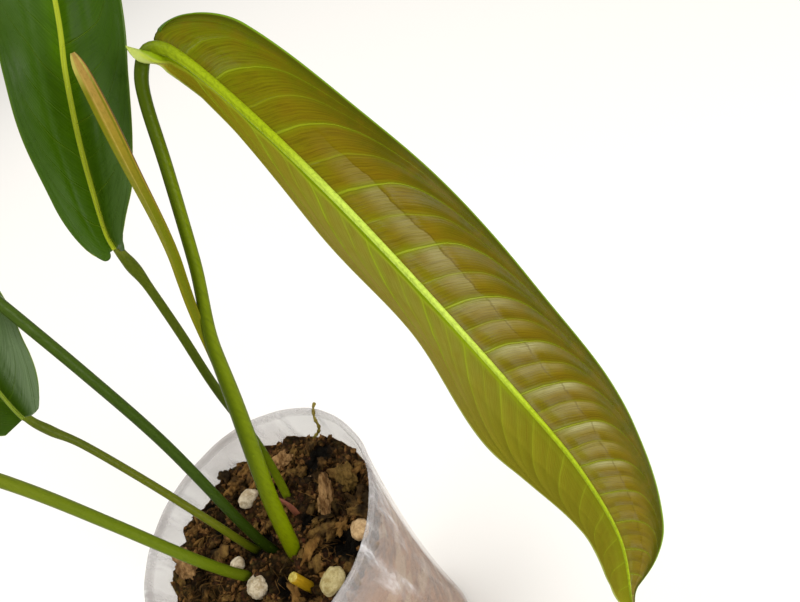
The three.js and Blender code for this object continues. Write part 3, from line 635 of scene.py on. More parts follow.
coarse_grid = np.linspace(0, 1, 9), np.linspace(0, 1, 5)
half_points = blade_half(LEAVES["leaf_1"], main_curve, *coarse_grid, LEFT)[0]
print("lowest point of its left half in millimetres:", round(float(half_points[..., 2].min()), 1))

# %% Panels between the veins
CREASE_AT, CREASE_WIDTH, CREASE_DEPTH = 0.46, 0.05, 0.16


def quilting(leaf, s, share, veins):
    """How far the surface swells between two veins, less the crease along each half."""
    distance = np.abs(share)
    pair = veins / 2 - np.floor(veins / 2)
    dome = 1 - np.abs(2 * pair - 1) ** 3 - 0.3 * np.exp(-(((pair - 0.5) / 0.07) ** 2))
    dome = dome * np.where(share < 0, 0.6, 1.0)
    cover = smooth_step(distance, 0.04, 0.2) * (1 - smooth_step(distance, 0.82, 1))
    ends = smooth_step(s, 0, 0.06)[:, None] * (1 - smooth_step(s, 0.9, 1))[:, None]
    crease = CREASE_DEPTH * np.exp(-(((distance - CREASE_AT) / CREASE_WIDTH) ** 2)) * ends
    return leaf["quilt"] * dome * cover * ends - crease


swell = quilting(LEAVES["leaf_1"], np.array([0.5]), np.array([[0.5]]), np.array([[0.7]]))
print("a panel of the main leaf swells by, in millimetres:", round(float(swell[0, 0]), 2))

# %% A whole blade
HALF_THICK = 0.2
MARGIN_THINNING = 0.45
RIGHT_UNDER, UPPER_SIDE, LEFT_UNDER = 0, 1, 2
EVEN_ROWS, CROWDED_ROWS = 0.55, 0.225
COLUMN_CROWDING = 0.92


def outer_edge(rows, wide):
    """Indices round a grid of points."""
    edge = list(range(wide - 1))
    edge += [i * wide + wide - 1 for i in range(rows)]
    edge += [rows * wide + j for j in range(wide - 1, 0, -1)]
    return edge + [i * wide for i in range(rows, 0, -1)]


def both_sheets(first, second):
    """Two values for each point of a sheet, the same on its upper and lower side."""
    return np.tile(np.stack(np.broadcast_arrays(first, second), -1).reshape(-1, 2), (2, 1))


def blade_shape(leaf):
    """Points, faces, layers and face kinds of a blade: a thin closed sheet, quilted by its veins."""
    curve = Curve(leaf["spine"])
    rows, columns = leaf["grid"]
    even = np.linspace(0, 1, rows + 1)
    s = EVEN_ROWS * even + CROWDED_ROWS * (1 - np.cos(np.pi * even))
    v = np.linspace(0, 1, columns + 1) ** COLUMN_CROWDING
    right, right_veins = blade_half(leaf, curve, s, v, RIGHT)
    left, left_veins = blade_half(leaf, curve, s, v, LEFT)
    points = np.concatenate([left[:, :0:-1], right], axis=1)
    veins = np.concatenate([left_veins[:, :0:-1], right_veins], axis=1)
    share = np.concatenate([-v[:0:-1], v])[None, :] * np.ones((rows + 1, 1))
    up = unit(np.cross(np.gradient(points, axis=1), np.gradient(points, axis=0)))
    middle = points + up * quilting(leaf, s, share, veins)[..., None]
    near_margin = smooth_step(np.abs(share), 0.9, 1)
    thick = up * (HALF_THICK * (1 - MARGIN_THINNING * near_margin[..., None]))
    sheets = [(middle + thick).reshape(-1, 3), (middle - thick).reshape(-1, 3)]
    wide = 2 * columns + 1
    count = (rows + 1) * wide
    upper = grid_faces(rows + 1, wide)
    lower = grid_faces(rows + 1, wide, first=count, flip=True)
    edge = outer_edge(rows, wide)
    rim = [(b, a, a + count, b + count) for a, b in zip(edge, edge[1:] + edge[:1])]
    kinds = [UPPER_SIDE] * len(upper) + ([LEFT_UNDER] * columns + [RIGHT_UNDER] * columns) * rows
    kinds += [RIGHT_UNDER] * len(rim)
    width = half_width(leaf, s, LEFT)[:, None]
    layers = {
        "veins": both_sheets(veins, share),
        "reach": both_sheets(np.broadcast_to(s[:, None], share.shape), width),
    }
    return np.vstack(sheets), upper + lower + rim, layers, kinds


print("points round the edge of a grid of 5 by 5:", len(outer_edge(4, 5)))

# %% [markdown]
# ## Stalks
# A petiole is a firm, nearly round stalk that swells just under its blade and runs on as the midrib.
# A curve with a bevel could be its start, but a stalk also has a flat side below, a groove along the
# midrib, and a part that leans on the sheath. Rings along the spine can change their size and outline
# on the way, so petiole and midrib are one body without a seam.

# %% Stalks
PETIOLE_ROWS, RIB_ROWS, STALK_SIDES = 150, 170, 28
SWELL_CENTRE = 8
SWELL_LENGTH = 5
TIP_ROUNDING = 6
GROOVE_AT, GROOVE_WIDTH, GROOVE_DEPTH = 0.75, 0.2, 0.2
FLAT_SHARE = 0.1
CLASPING_PART = 0.85
CLASPED_BELOW = (185, 235)
LEANING_BELOW = (215, 240)
LEANING_ABOVE = (140, 165)
LEANING_SHARE = 0.3


def toward(points, other, share):
    """Points moved a share of the way to another curve at the same height."""
    rising = other.points[:np.argmax(other.points[:, 2])]
    target = np.stack([np.interp(points[:, 2], rising[:, 2], rising[:, c]) for c in range(3)], -1)
    return points + share[:, None] * (target - points)


def stalk_faces_down(curve, petiole, under):
    """The blade's way down, carried on along the petiole without a twist."""
    ways = [under[0]]
    for length in petiole[::-1]:
        ways.append(square_to(curve.direction(length), ways[-1]))
    return np.vstack([ways[:0:-1], under])


def stalk_shape(leaf, neighbour=None):
    """Petiole, joint and midrib in one tapering stalk, grooved on one side."""
    curve = Curve(leaf["spine"])
    start = curve.length_at(leaf["start"])
    low, high, swell = leaf["petiole"]
    petiole = np.linspace(0, start, PETIOLE_ROWS, endpoint=False)
    s = np.linspace(0, 1, RIB_ROWS)
    under = stalk_faces_down(curve, petiole, blade_frame(leaf, curve, s)[2])
    lengths = np.concatenate([petiole, start + s * (curve.length - start)])
    left = np.cross(curve.direction(lengths), under)
    below = (start - SWELL_CENTRE - lengths) / SWELL_LENGTH
    below_blade = low + (high - low) * lengths / start + swell * np.exp(-below**2)
    on_petiole = lengths < start
    rib_share = np.clip((lengths - start) / (curve.length - start), 0, 1)
    radius = np.where(on_petiole, below_blade, rib_radius(leaf, rib_share))
    radius[-TIP_ROUNDING:] *= np.linspace(1, 0.35, TIP_ROUNDING)
    centre = curve.place(lengths)
    if neighbour:
        level = centre[:, 2]
        clasped = 1 - smooth_step(level, *CLASPED_BELOW)
        radius += np.where(on_petiole, CLASPING_PART * clasped, 0)
        share = LEANING_SHARE * (1 - smooth_step(level, *LEANING_BELOW))
        share *= smooth_step(level, *LEANING_ABOVE)
        centre = toward(centre, neighbour, np.where(on_petiole, share, 0))
    angle = around(STALK_SIDES)
    on_blade = smooth_step(lengths, start - 6, start + 10)[:, None]
    groove = np.exp(-(((angle[None, :] - GROOVE_AT) / GROOVE_WIDTH) ** 2)) * GROOVE_DEPTH * on_blade
    flat = FLAT_SHARE * (1 + np.cos(angle[None, :] - np.pi)) * (1 - on_blade)
    size = radius[:, None] * (1 - groove - flat * 0.5)
    points, faces = tube(rings_round(centre, under, left, size * np.cos(angle), size * np.sin(angle)))
    along_share = np.where(on_petiole, lengths / start, 1 + rib_share)
    return points, faces, {"stalk": tube_uv(along_share[:, None], angle[None, :] / (2 * np.pi))}


print("points of the main stalk:", len(stalk_shape(LEAVES["leaf_1"])[0]))

# %% [markdown]
# ## Leaf materials
# A philodendron leaf is glossy green above. Below, this one is bronze with bands of painted sheen and
# painted shade, a green base and a dark rim. A painted image could hold all that, but it would blur near
# the veins. Here the two layers of the mesh tell each point how far it is from a vein, from the midrib
# and from the margin, so every line stays sharp and follows the shape.

# %% Shares of a blade
class BladeLook(Look):
    """A blade's material. It knows the places along and across a half, and the side veins."""

    def __init__(self, name):
        super().__init__(name)
        count, self.signed = self.uv("veins")
        self.s, self.width = self.uv("reach")
        self.share = self.math("ABSOLUTE", self.signed)
        point = self.place()
        self.wander = self.noise(point, 90.0, 2.0)
        self.mottle = self.noise(point, 160.0, 4.0, 0.6)
        self.grain = self.noise(point, 900.0, 2.0)
        self.veins = self.plus(count, self.scaled(self.wander, 0.22, -0.11))
        self.part = self.math("FRACT", self.veins)

    def vein_lines(self, vein_width, tip_veins):
        """Shares of the side veins, of the soft band round each, and of the fine veins between."""
        off_vein = self.minus(0.5, self.away(self.part, 0.5))
        line_width = self.span(self.share, 0.0, 0.9, vein_width, vein_width * 0.5)
        ratio = self.math("DIVIDE", off_vein, line_width)
        before_margin = self.fall(self.share, 0.9, 0.99)
        odd = self.math("PINGPONG", self.math("FLOOR", self.plus(self.veins, 0.5)), 1.0)
        odd_loss = self.span(self.s, 0.7, 0.84, -0.6, -0.92)
        weight = self.times(before_margin, self.scaled(odd, odd_loss, 1.0))
        if tip_veins < 1:
            weight = self.times(weight, self.span(self.s, 0.45, 0.7, 1.0, tip_veins))
        line = self.times(self.fall(ratio, 0.35, 1.15), weight)
        halo = self.times(self.fall(ratio, 0.6, 5.5), weight)
        fine_part = self.math("FRACT", self.scaled(self.wander, 1.3, self.times(self.veins, 9.0)))
        fine = self.times(self.fall(self.away(fine_part, 0.5), 0.0, 0.26), before_margin)
        return line, halo, fine

    def satin_bands(self, colors):
        """Painted sheen: pale bands below the side veins. Painted shade: dark lines along the crease and
        above the veins.
        """
        inside = self.minus(self.scaled(self.mottle, 0.12, 0.375), self.share)
        later = self.math("PINGPONG", self.math("FLOOR", self.veins), 1.0)
        sheen_below_vein = self.times(self.span(self.part, 0.03, 0.1), self.fall(self.part, 0.12, 0.62),
                                self.scaled(later, -0.68, 1.0))
        high = self.times(self.span(self.s, 0.2, 0.36), self.fall(self.s, 0.46, 0.6),
                          self.span(self.share, 0.16, 0.36), self.span(inside, 0.0, 0.012),
                          self.scaled(sheen_below_vein, 0.16, 0.26))
        low = self.times(self.span(self.s, 0.4, 0.62), self.fall(self.s, 0.76, 0.88),
                         self.span(self.share, 0.02, 0.28), self.fall(self.share, 0.46, 0.72),
                         self.span(self.mottle, 0.3, 0.6, 0.5, 0.85), sheen_below_vein)
        # Painted sheen: pale highlight bands below the side veins, in an upper and a lower stretch of the
        # half.
        self.over(self.math("MAXIMUM", high, low), colors["satin"])
        # Painted shade: darker along the crease and on each panel just above the next vein, in the streak
        # colour.
        groove = self.times(self.span(self.math("ABSOLUTE", inside), 0.0, 0.016, 0.5, 0.0),
                            self.span(self.s, 0.2, 0.35))
        shade_above_vein = self.times(self.span(self.part, 0.5, 0.88, 0.0, 0.45),
                                self.span(self.s, 0.4, 0.55), self.fall(self.share, 0.5, 0.8))
        self.over(self.math("MAXIMUM", groove, shade_above_vein), colors["streak"])

    def furrow_beside_rib(self, colors):
        """Painted shade: a darker green furrow beside the midrib, with a pale line outside it."""
        off_rib = self.minus(self.times(self.share, self.width), self.span(self.s, 0.0, 1.0, 1.9, 0.8))
        pale_line = self.times(self.span(off_rib, 0.9, 1.5), self.span(off_rib, 1.7, 2.8, 0.75, 0.0),
                               self.span(self.s, 0.42, 0.6, 1.0, 0.15))
        self.over(pale_line, colors["vein"])
        # Painted shade in the furrow next to the rib.
        furrow = self.mix(self.span(self.s, 0.42, 0.6), colors["furrow"], colors["rib_side"])
        in_furrow = self.times(self.span(off_rib, 0.8, 1.4, 0.9, 0.0),
                               self.span(self.s, 0.5, 0.72, 1.0, 0.12))
        self.over(in_furrow, furrow)


print("steps of its own:", [name for name in vars(BladeLook) if not name.startswith("_")])

# %% Blade material
BLADE_RELIEF = 0.00018
MARGIN_FADE = 0.4
BAND_NARROWING = 0.72


def blade_look(name, colors, rough, vein_width=0.05, fine_share=0.18, vein_share=0.6, halo_share=0.4,
               tip_veins=1.0, base_reach=(0.0, 0.28), margin_width=0.2, band=None, gloss=0.35):
    """Colours from midrib to margin first, then patches, then veins, and the margins last."""
    look = BladeLook(name)
    share, s = look.share, look.s
    line, halo, fine = look.vein_lines(vein_width, tip_veins)
    streak_place = look.vector(look.times(look.veins, 18.0), look.times(look.signed, 1.6), s)
    streak = look.noise(streak_place, 2.0, 4.0, 0.6)
    look.color = look.mix(look.span(share, 0.1, 0.32), colors["inner"], colors["middle"])
    look.over(look.span(share, 0.48, 0.84), colors["outer"])
    look.over(look.span(s, *base_reach, 0.9, 0.0), colors["base"])
    look.over(look.span(look.mottle, 0.35, 0.75, 0.0, 0.45), colors["mottle"])
    if "satin" in colors:
        look.satin_bands(colors)
    # Painted sheen: a greyer, paler colour near the base of the right half.
    if "sheen" in colors:
        near_base = look.times(look.span(s, 0.1, 0.26, 0.75, 0.0), look.span(look.signed, 0.2, 0.7))
        look.over(near_base, colors["sheen"])
    if "low" in colors:
        look.over(look.span(s, 0.5, 0.72, 0.0, 0.85), colors["low"])
        pale_foot = look.times(look.span(s, 0.004, 0.02, 0.9, 0.0), look.span(share, 0.3, 0.8))
        look.over(pale_foot, colors["foot"])
    look.over(look.span(streak, 0.42, 0.68, 0.0, 0.55), colors["streak"])
    look.over(look.times(fine, fine_share), colors["fine"])
    look.over(look.times(halo, halo_share), colors["halo"])
    look.over(look.times(line, vein_share), colors["vein"])
    if "furrow" in colors:
        look.furrow_beside_rib(colors)
    from_margin = look.times(look.minus(1.0, share), look.width)
    if "rim" in colors:
        look.over(look.span(from_margin, 0.6, 2.6, 0.7, 0.0), colors["rim"])
    margin = look.span(from_margin, margin_width, margin_width + MARGIN_FADE, 0.8, 0.0)
    look.over(margin, colors["margin"])
    relief = look.scaled(line, 1.0, look.times(fine, 0.07))
    if band:
        edge = look.scaled(s, band * -BAND_NARROWING, band)
        midrib = look.span(look.minus(edge, look.times(share, look.width)), -0.12, 0.12)
        look.over(midrib, colors["midrib"])
        relief = look.plus(relief, look.times(midrib, 0.8))
    relief = look.scaled(look.grain, 0.12, relief)
    roughness = look.span(look.mottle, 0.3, 0.8, rough - 0.04, rough + 0.08)
    return look.finish(roughness, relief, BLADE_RELIEF, gloss)


print("relief of a blade in millimetres:", BLADE_RELIEF * MM_PER_METRE)

# %% Colours of the blades
# The pale band colour is painted sheen. The streak colour is the leaf's own streaks, and it is also laid as
# painted shade along the crease and above the veins.
BRONZE = palette(
    inner=(102, 97, 2), middle=(104, 90, 4), outer=(70, 70, 0), base=(96, 106, 0), mottle=(110, 84, 2),
    satin=(154, 152, 108), streak=(70, 56, 0), fine=(124, 114, 8), halo=(104, 118, 2),
    vein=(132, 146, 22), margin=(112, 146, 30), rim=(58, 64, 0),
)
# Left half: the inner, middle and outer colours hold a painted grey reflection haze, and the material
# itself has no gloss.
BRONZE_LEFT = palette(
    inner=(145, 151, 48), middle=(147, 144, 54), outer=(153, 138, 66), base=(142, 136, 2),
    mottle=(144, 126, 36), low=(114, 112, 14), streak=(116, 100, 22), fine=(158, 156, 58),
    halo=(138, 156, 28), vein=(160, 176, 40), margin=(168, 180, 94), foot=(174, 186, 130),
    furrow=(124, 150, 4), rib_side=(150, 174, 16),
)
GREEN = palette(
    inner=(66, 100, 2), middle=(50, 80, 1), outer=(44, 72, 1), base=(54, 84, 2), mottle=(56, 86, 2),
    streak=(38, 66, 1), fine=(66, 94, 5), halo=(66, 94, 4), vein=(84, 112, 8), margin=(70, 96, 22),
    midrib=(164, 176, 40), sheen=(72, 98, 44),
)
# Copy of the green for the leaf at the left. Its middle and outer colours and its base patch are greyed by
# painted sheen. Its inner, base and midrib colours are its own.
GREEN_WITH_PAINTED_SHEEN = GREEN | palette(
    inner=(58, 84, 10), middle=(70, 94, 40), outer=(66, 90, 36), base=(44, 66, 6),
    sheen=(108, 126, 94), midrib=(126, 144, 50),
)
PALE_GREEN = palette(
    inner=(112, 132, 28), middle=(92, 114, 18), outer=(82, 106, 16), base=(104, 126, 24),
    mottle=(106, 112, 24), streak=(82, 100, 16), fine=(124, 142, 38), halo=(112, 134, 28),
    vein=(150, 174, 50), margin=(150, 164, 64),
)
UPPER_SIDES = {"rough": 0.3, "vein_width": 0.028, "fine_share": 0.12, "vein_share": 0.4,
               "halo_share": 0.2, "gloss": 0.13}
bronze_under = blade_look("bronze_underside", BRONZE, 0.3, tip_veins=0.7, gloss=0.065)
bronze_left = blade_look("bronze_left_half", BRONZE_LEFT, 0.42, vein_width=0.08, vein_share=0.8,
                         tip_veins=0.24, base_reach=(0.06, 0.36), margin_width=0.5, gloss=0.0)
green_upper = blade_look("green_upper_side", GREEN, band=1.15, **UPPER_SIDES)
green_far = blade_look("green_far_leaf", GREEN_WITH_PAINTED_SHEEN, band=0.9, **UPPER_SIDES)
pale_under = blade_look("pale_underside", PALE_GREEN, 0.4)
print("bronze side:", len(bronze_under.node_tree.nodes), "nodes")

# %% Stalk material
PAINTED_RIB_HIGHLIGHT = rgb(188, 212, 92)
LIT_ANGLE = 0.22
SHADED_ANGLE = 0.78


def stalk_look(name, **colors):
    """One look for petiole and midrib: the layer goes from 0 to 1 up the petiole, then to 2."""
    colors = palette(**colors)
    look = Look(name)
    along, angle = look.uv("stalk")
    look.color = look.mix(look.span(along, 0.1, 0.42), colors["low"], colors["middle"])
    look.over(look.span(along, 0.5, 0.93), colors["high"])
    look.over(look.span(along, 0.96, 1.06), colors["rib"])
    # Painted light on one flank of the petiole, and painted shade on the opposite flank.
    if "lit_side" in colors:
        lit = look.span(look.away(angle, LIT_ANGLE), 0.02, 0.2, 0.6, 0.0)
        look.over(look.times(lit, look.fall(along, 0.75, 0.95)), colors["lit_side"])
        shaded = look.span(look.away(angle, SHADED_ANGLE), 0.04, 0.2, 0.6, 0.0)
        look.over(look.times(shaded, look.fall(along, 0.9, 1.0)), colors["dark"])
        first_rib = look.times(look.span(along, 0.98, 1.04), look.span(along, 1.1, 1.28, 0.38, 0.0))
        look.over(first_rib, colors["lit_side"])
    # Painted highlight: a pale band along the middle stretch of the midrib.
    pale = look.times(look.span(along, 1.18, 1.32), look.span(along, 1.5, 1.68, 0.7, 0.0))
    look.over(pale, PAINTED_RIB_HIGHLIGHT)
    look.over(look.span(along, 1.6, 1.85, 0.0, 0.22), colors["dark"])
    look.over(look.span(along, 1.94, 1.99, 0.0, 0.6), colors["dark"])
    streak = look.noise(look.place((1.0, 1.0, 0.12)), 1500.0, 3.0, 0.6)
    look.over(look.span(streak, 0.4, 0.75, 0.0, 0.35), colors["dark"])
    fleck = look.noise(look.place(), 700.0, 1.0)
    look.over(look.span(fleck, 0.68, 0.8, 0.0, 0.12), colors["rib"])
    relief = look.scaled(streak, 1.0, look.times(fleck, 0.4))
    return look.finish(look.span(streak, 0.3, 0.8, 0.29, 0.44), relief, 0.00012, 0.06)


STALKS = {
    "leaf_1": stalk_look("stalk_main", low=(104, 114, 3), middle=(66, 80, 2), high=(58, 74, 2),
                         rib=(154, 174, 22), dark=(52, 64, 2), lit_side=(112, 128, 4)),
    "leaf_2": stalk_look("stalk_behind", low=(108, 120, 14), middle=(66, 80, 6), high=(84, 96, 18),
                         rib=(150, 152, 64), dark=(44, 62, 4)),
    "leaf_3": stalk_look("stalk_left", low=(56, 64, 2), middle=(92, 98, 18), high=(82, 92, 24),
                         rib=(124, 138, 26), dark=(44, 62, 4)),
    # Its low colour, nearly black, is painted shade where the petiole goes down into the pot.
    "leaf_4": stalk_look("stalk_dark", low=(24, 36, 2), middle=(50, 70, 12), high=(66, 86, 28),
                         rib=(104, 130, 24), dark=(28, 44, 3)),
    "leaf_5": stalk_look("stalk_light", low=(88, 100, 14), middle=(92, 108, 14), high=(104, 114, 22),
                         rib=(126, 146, 30), dark=(70, 90, 10)),
}
print("stalk materials:", len(STALKS))

# %% Build the leaves
for name, leaf in LEAVES.items():
    main = name == "leaf_1"
    points, faces, layers, kinds = blade_shape(leaf)
    upper = green_far if name == "leaf_3" else green_upper
    sides = [bronze_under, upper, bronze_left] if main else [pale_under, upper, pale_under]
    slot = "leaf_bronze" if main else "leaf_green"
    blade = add_piece(f"{name}_lamina", points, faces, sides, layers, kinds)
    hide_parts(f"{name}_blade")
    points, faces, layers = stalk_shape(leaf, Curve(SHEATH_SPINE) if main else None)
    slot = "petiole_light" if name == "leaf_5" else "petiole_dark"
    stalk = add_piece(f"{name}_stalk", points, faces, [STALKS[name]], layers)
    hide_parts(f"{name}_petiole")

# %% [markdown]
# ## Sheath, stub and dry scale
# The sheath wraps the next leaf. It is round below, and above it has a flat face between two pale
# keels. The stub is what is left of an old petiole, cut square, and the scale is a dry brown leaf
# of the shoot. Each could be a stretched cylinder, but one outline swept along a curve keeps the
# keels and the curl all the way up.

# %% Sheath
SHEATH_WIDTH = [(0, 3.2), (0.4, 3), (0.6, 3.2), (0.72, 3.5), (0.8, 3.9), (0.9, 4.8), (0.96, 4.4),
                (0.99, 3.6), (1, 3)]
SHEATH_SECTION = [
    (-0.5, 0.26), (-0.2, 0.14), (0.2, 0.14), (0.5, 0.26),
    (0.44, -0.14), (0.2, -0.36), (-0.2, -0.36), (-0.44, -0.14),
]
SHEATH_FACE = np.array([0.1, -0.75, 0.66])
SHEATH_ROWS = 170
SHEATH_TIP = (0.95, 0.85, 0.7, 0.45)
SHEATH_NARROWING = 0.92
SECTION_SLOPE = 0.4


def closed_section(corners, each):
    """A smooth closed outline through corner points."""
    p = np.array(corners, float)
    outline = []
    for k in range(len(p)):
        before, start, end, after = p[k - 1], p[k], p[(k + 1) % len(p)], p[(k + 2) % len(p)]
        a, b = (end - before) * SECTION_SLOPE, (after - start) * SECTION_SLOPE
        outline += [cubic(u, start, end, a, b) for u in np.linspace(0, 1, each, endpoint=False)]
    return np.array(outline)


def sheath_shape():
    curve = Curve(SHEATH_SPINE)
    outline = closed_section(SHEATH_SECTION, 5)
    lengths = np.linspace(0, curve.length, SHEATH_ROWS)
    share = lengths / curve.length
    along = curve.direction(lengths)
    front = square_to(along, SHEATH_FACE)
    round_part = 1 - smooth_step(share, 0.45, 0.66)[:, None]
    rounding = np.where(outline[:, 1] > 0, 0.42 - 1.2 * outline[:, 0]**2 - outline[:, 1], 0)
    depth = outline[:, 1] + round_part * rounding
    width = SHEATH_NARROWING * smooth_at(SHEATH_WIDTH, share)
    width[-len(SHEATH_TIP):] *= SHEATH_TIP
    centre = curve.place(lengths)
    level = centre[:, 2]
    nearer = (0.65 - 0.15 * smooth_step(level, 140, 175)) * (1 - smooth_step(level, 212, 242))
    centre = toward(centre, Curve(LEAVES["leaf_1"]["spine"]), nearer)
    points, faces = tube(rings_round(centre, np.cross(along, front), front,
                                     width[:, None] * outline[:, 0], width[:, None] * depth))
    return points, faces, {"sheath": tube_uv(share[:, None], outline[None, :, 0])}


print("points round the sheath:", len(closed_section(SHEATH_SECTION, 5)))

# %% Sheath material
def sheath_look():
    look = Look("sheath")
    along, across = look.uv("sheath")
    high = look.span(along, 0.72, 0.84)
    tan = look.mix(look.span(along, 0.86, 0.995), rgb(134, 116, 30), rgb(150, 120, 58))
    core = look.mix(look.span(along, 0.3, 0.6), rgb(104, 112, 3), rgb(94, 100, 1))
    core = look.mix(look.span(along, 0.76, 0.91), core, tan)
    keel = look.mix(look.span(along, 0.3, 0.6), rgb(104, 112, 3), rgb(104, 104, 2))
    keel = look.mix(look.span(along, 0.94, 0.99), keel, rgb(164, 158, 74))
    look.color = look.mix(look.fall(across, -0.3, -0.2), core, keel)
    look.over(look.span(across, 0.22, 0.28), keel)
    look.over(look.times(look.span(across, 0.34, 0.38), high), tan)
    ridge = look.span(look.away(across, -0.16), 0.0, 0.06, 0.5, 0.0)
    look.over(look.times(ridge, high), rgb(164, 148, 72))
    look.over(look.times(look.span(across, 0.44, 0.48), high), rgb(92, 66, 34))
    streak = look.noise(look.place((1.0, 1.0, 0.1)), 1400.0, 3.0, 0.6)
    look.over(look.span(streak, 0.45, 0.8, 0.0, 0.4), rgb(92, 84, 8))
    return look.finish(look.span(streak, 0.3, 0.8, 0.38, 0.55), streak, 0.00015, 0.1)


points, faces, layers = sheath_shape()
sheath = add_piece("sheath_of_next_leaf", points, faces, [sheath_look()], layers)
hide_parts("new_leaf_sheath")

# %% Plain material
DAMP_MIX = rgb(20, 13, 5)
EVEN = (1.0, 1.0, 1.0)
FINE_SCALE = 4.3
FINE_DARKENING = 0.45


def dampen(look, share):
    """Dark damp patches, which run on from one piece to the next because they sit in space."""
    patches = look.noise(look.place(), 75.0, 3.0)
    look.over(look.span(patches, 0.46, 0.62, 0.0, share), DAMP_MIX)


def plain_look(name, first, second, scale, rough, depth, stretch=EVEN, gloss=0.4, damp=0.0):
    """Two colours mixed by a noise, with a fine relief, and darker in damp patches."""
    look = Look(name)
    place = look.place(stretch)
    coarse = look.noise(place, scale, 5.0, 0.65)
    fine = look.noise(place, scale * FINE_SCALE, 3.0, 0.6)
    look.color = look.mix(look.span(coarse, 0.35, 0.66), rgb(*first), rgb(*second))
    dark = tuple(FINE_DARKENING * channel for channel in rgb(*first))
    look.over(look.span(fine, 0.5, 0.8, 0.0, 0.45), dark)
    if damp:
        dampen(look, damp)
    roughness = look.span(fine, 0.3, 0.8, rough - 0.06, rough + 0.08)
    return look.finish(roughness, look.scaled(fine, 0.5, coarse), depth, gloss)


print("damp mix in linear light:", [round(channel, 4) for channel in DAMP_MIX])

# %% Stub
STUB_SPINE = [
    (3.6, -13.2, 113.3), (3.6, -13.2, 118), (7.6, -24.5, 129), (8.2, -26.2, 137), (8.2, -26.6, 148.5),
]
STUB_RADIUS = 1.8
STUB_ROWS, STUB_SIDES = 46, 24
STUB_EDGE_SHARES = (0.95, 0.8)
CUT_DIP = 0.5


def stub_shape():
    """A round stub with a rounded edge and a dip in its cut end, which is a face kind of its own."""
    curve = Curve(STUB_SPINE)
    lengths = np.concatenate([np.linspace(0, curve.length - 0.8, STUB_ROWS),
                              [curve.length - 0.35, curve.length]])
    along = curve.direction(lengths)
    across = unit(np.array([1.0, 0.1, 0.0]) - along * along[:, :1])
    angle = around(STUB_SIDES)
    radius = np.full(len(lengths), STUB_RADIUS)
    radius[-2:] = [share * STUB_RADIUS for share in STUB_EDGE_SHARES]
    wrinkle = 1 + 0.03 * np.sin(7 * angle[None, :] + 0.02 * lengths[:, None])
    size = radius[:, None] * wrinkle
    points, faces = tube(rings_round(curve.place(lengths), across, np.cross(along, across),
                                     size * np.cos(angle), size * np.sin(angle)))
    points[-1] -= along[-1] * CUT_DIP
    on_cut = [max(face) >= len(points) - 1 or min(face) >= STUB_ROWS * STUB_SIDES for face in faces]
    return points, faces, [int(cut) for cut in on_cut]


points, faces, kinds = stub_shape()
stub_paints = [
    plain_look("stub_side", (150, 118, 8), (170, 136, 20), 500.0, 0.4, 0.0002, (1, 1, 0.2)),
    plain_look("stub_cut_end", (196, 182, 90), (160, 132, 40), 900.0, 0.6, 0.0002),
]
stub = add_piece("old_petiole_stub", points, faces, stub_paints, None, kinds)
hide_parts("cut_petiole_stub")

# %% Dry scale
SCALE_SPINE = [(10.6, 3.6, 131), (11.4, 3.3, 137), (11.4, 4.4, 142), (10.2, 6, 147.5)]
SCALE_WIDTH = [(0, 2.6), (0.5, 3), (0.85, 1.8), (1, 0.8)]
SCALE_SIDE = np.array([0.9, -0.4, 0.0])
SCALE_ROWS, SCALE_SIDES = 40, 26
SCALE_HALF_THICK = 0.3
SCALE_CURL = 0.35


def scale_shape():
    """A flat oval sheet whose edges curl more towards the tip."""
    curve = Curve(SCALE_SPINE)
    lengths = np.linspace(0, curve.length, SCALE_ROWS)
    share = lengths / curve.length
    along = curve.direction(lengths)
    side = square_to(along, SCALE_SIDE)
    angle = around(SCALE_SIDES)
    half = (smooth_at(SCALE_WIDTH, share) / 2)[:, None]
    curl = SCALE_CURL * (np.cos(angle) ** 2)[None, :] * smooth_step(share, 0.1, 1)[:, None]
    thick = SCALE_HALF_THICK * np.sin(angle)[None, :] + curl
    return tube(rings_round(curve.place(lengths), side, np.cross(along, side), half * np.cos(angle), thick))


points, faces = scale_shape()
paper = plain_look("dry_scale_paper", (108, 54, 38), (130, 76, 52), 420.0, 0.7, 0.0003, (1, 1, 0.25))
dry_scale = add_piece("dry_scale_leaf", points, faces, [paper])
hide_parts("dry_scale")

# %% [markdown]
# ## Pot
# A tall thin cup of frosted, see-through plastic, with lengthwise streaks and a slightly wavy lip.
# Its outline goes round the axis as a lathe would turn it. A screw modifier could do that, but here
# each ring gets small dents near the lip, because a thin cup is never quite round there.

# %% Pot shape
POT_HEIGHT = 150
RIM_RADIUS = 49
FLARE_SLOPE = 0.2068
FLARE_BEND = 0.000571
WALL = 1.2
FLOOR_THICK = 1.6
POT_SIDES = 144
LIP = [
    (48.35, 147.0), (48.75, 147.9), (48.95, 148.9), (48.85, 149.6), (48.4, 150.0),
    (47.7, 149.9), (47.2, 149.3), (46.9, 148.4), (46.75, 147.2),
]
DENTS_BEYOND = 20
LIP_ABOVE = 146.5
LIP_DROOP = 0.3
LIP_WAVE = 0.14


def pot_radius(z):
    below = POT_HEIGHT - z
    return RIM_RADIUS - FLARE_SLOPE * below + FLARE_BEND * below**2


def pot_profile():
    """Radius and height of the pot's skin, from the middle of its underside to that of its floor."""
    foot = pot_radius(0)
    levels = np.linspace(3.2, POT_HEIGHT - 4.2, 30)
    outside = [(r, 0.0) for r in np.linspace(0.5, foot - 2.2, 8)]
    outside += [(foot - 1.2, 0.25), (foot - 0.6, 0.8)]
    outside += [(pot_radius(z), z) for z in levels]
    inside = [(pot_radius(z) - WALL, z) for z in levels[::-1]]
    inside += [(foot - WALL - 0.7, 1.9), (foot - WALL - 1.6, FLOOR_THICK)]
    inside += [(r, FLOOR_THICK) for r in np.linspace(foot - 4.5, 0.5, 6)]
    return np.array(outside + LIP + inside)


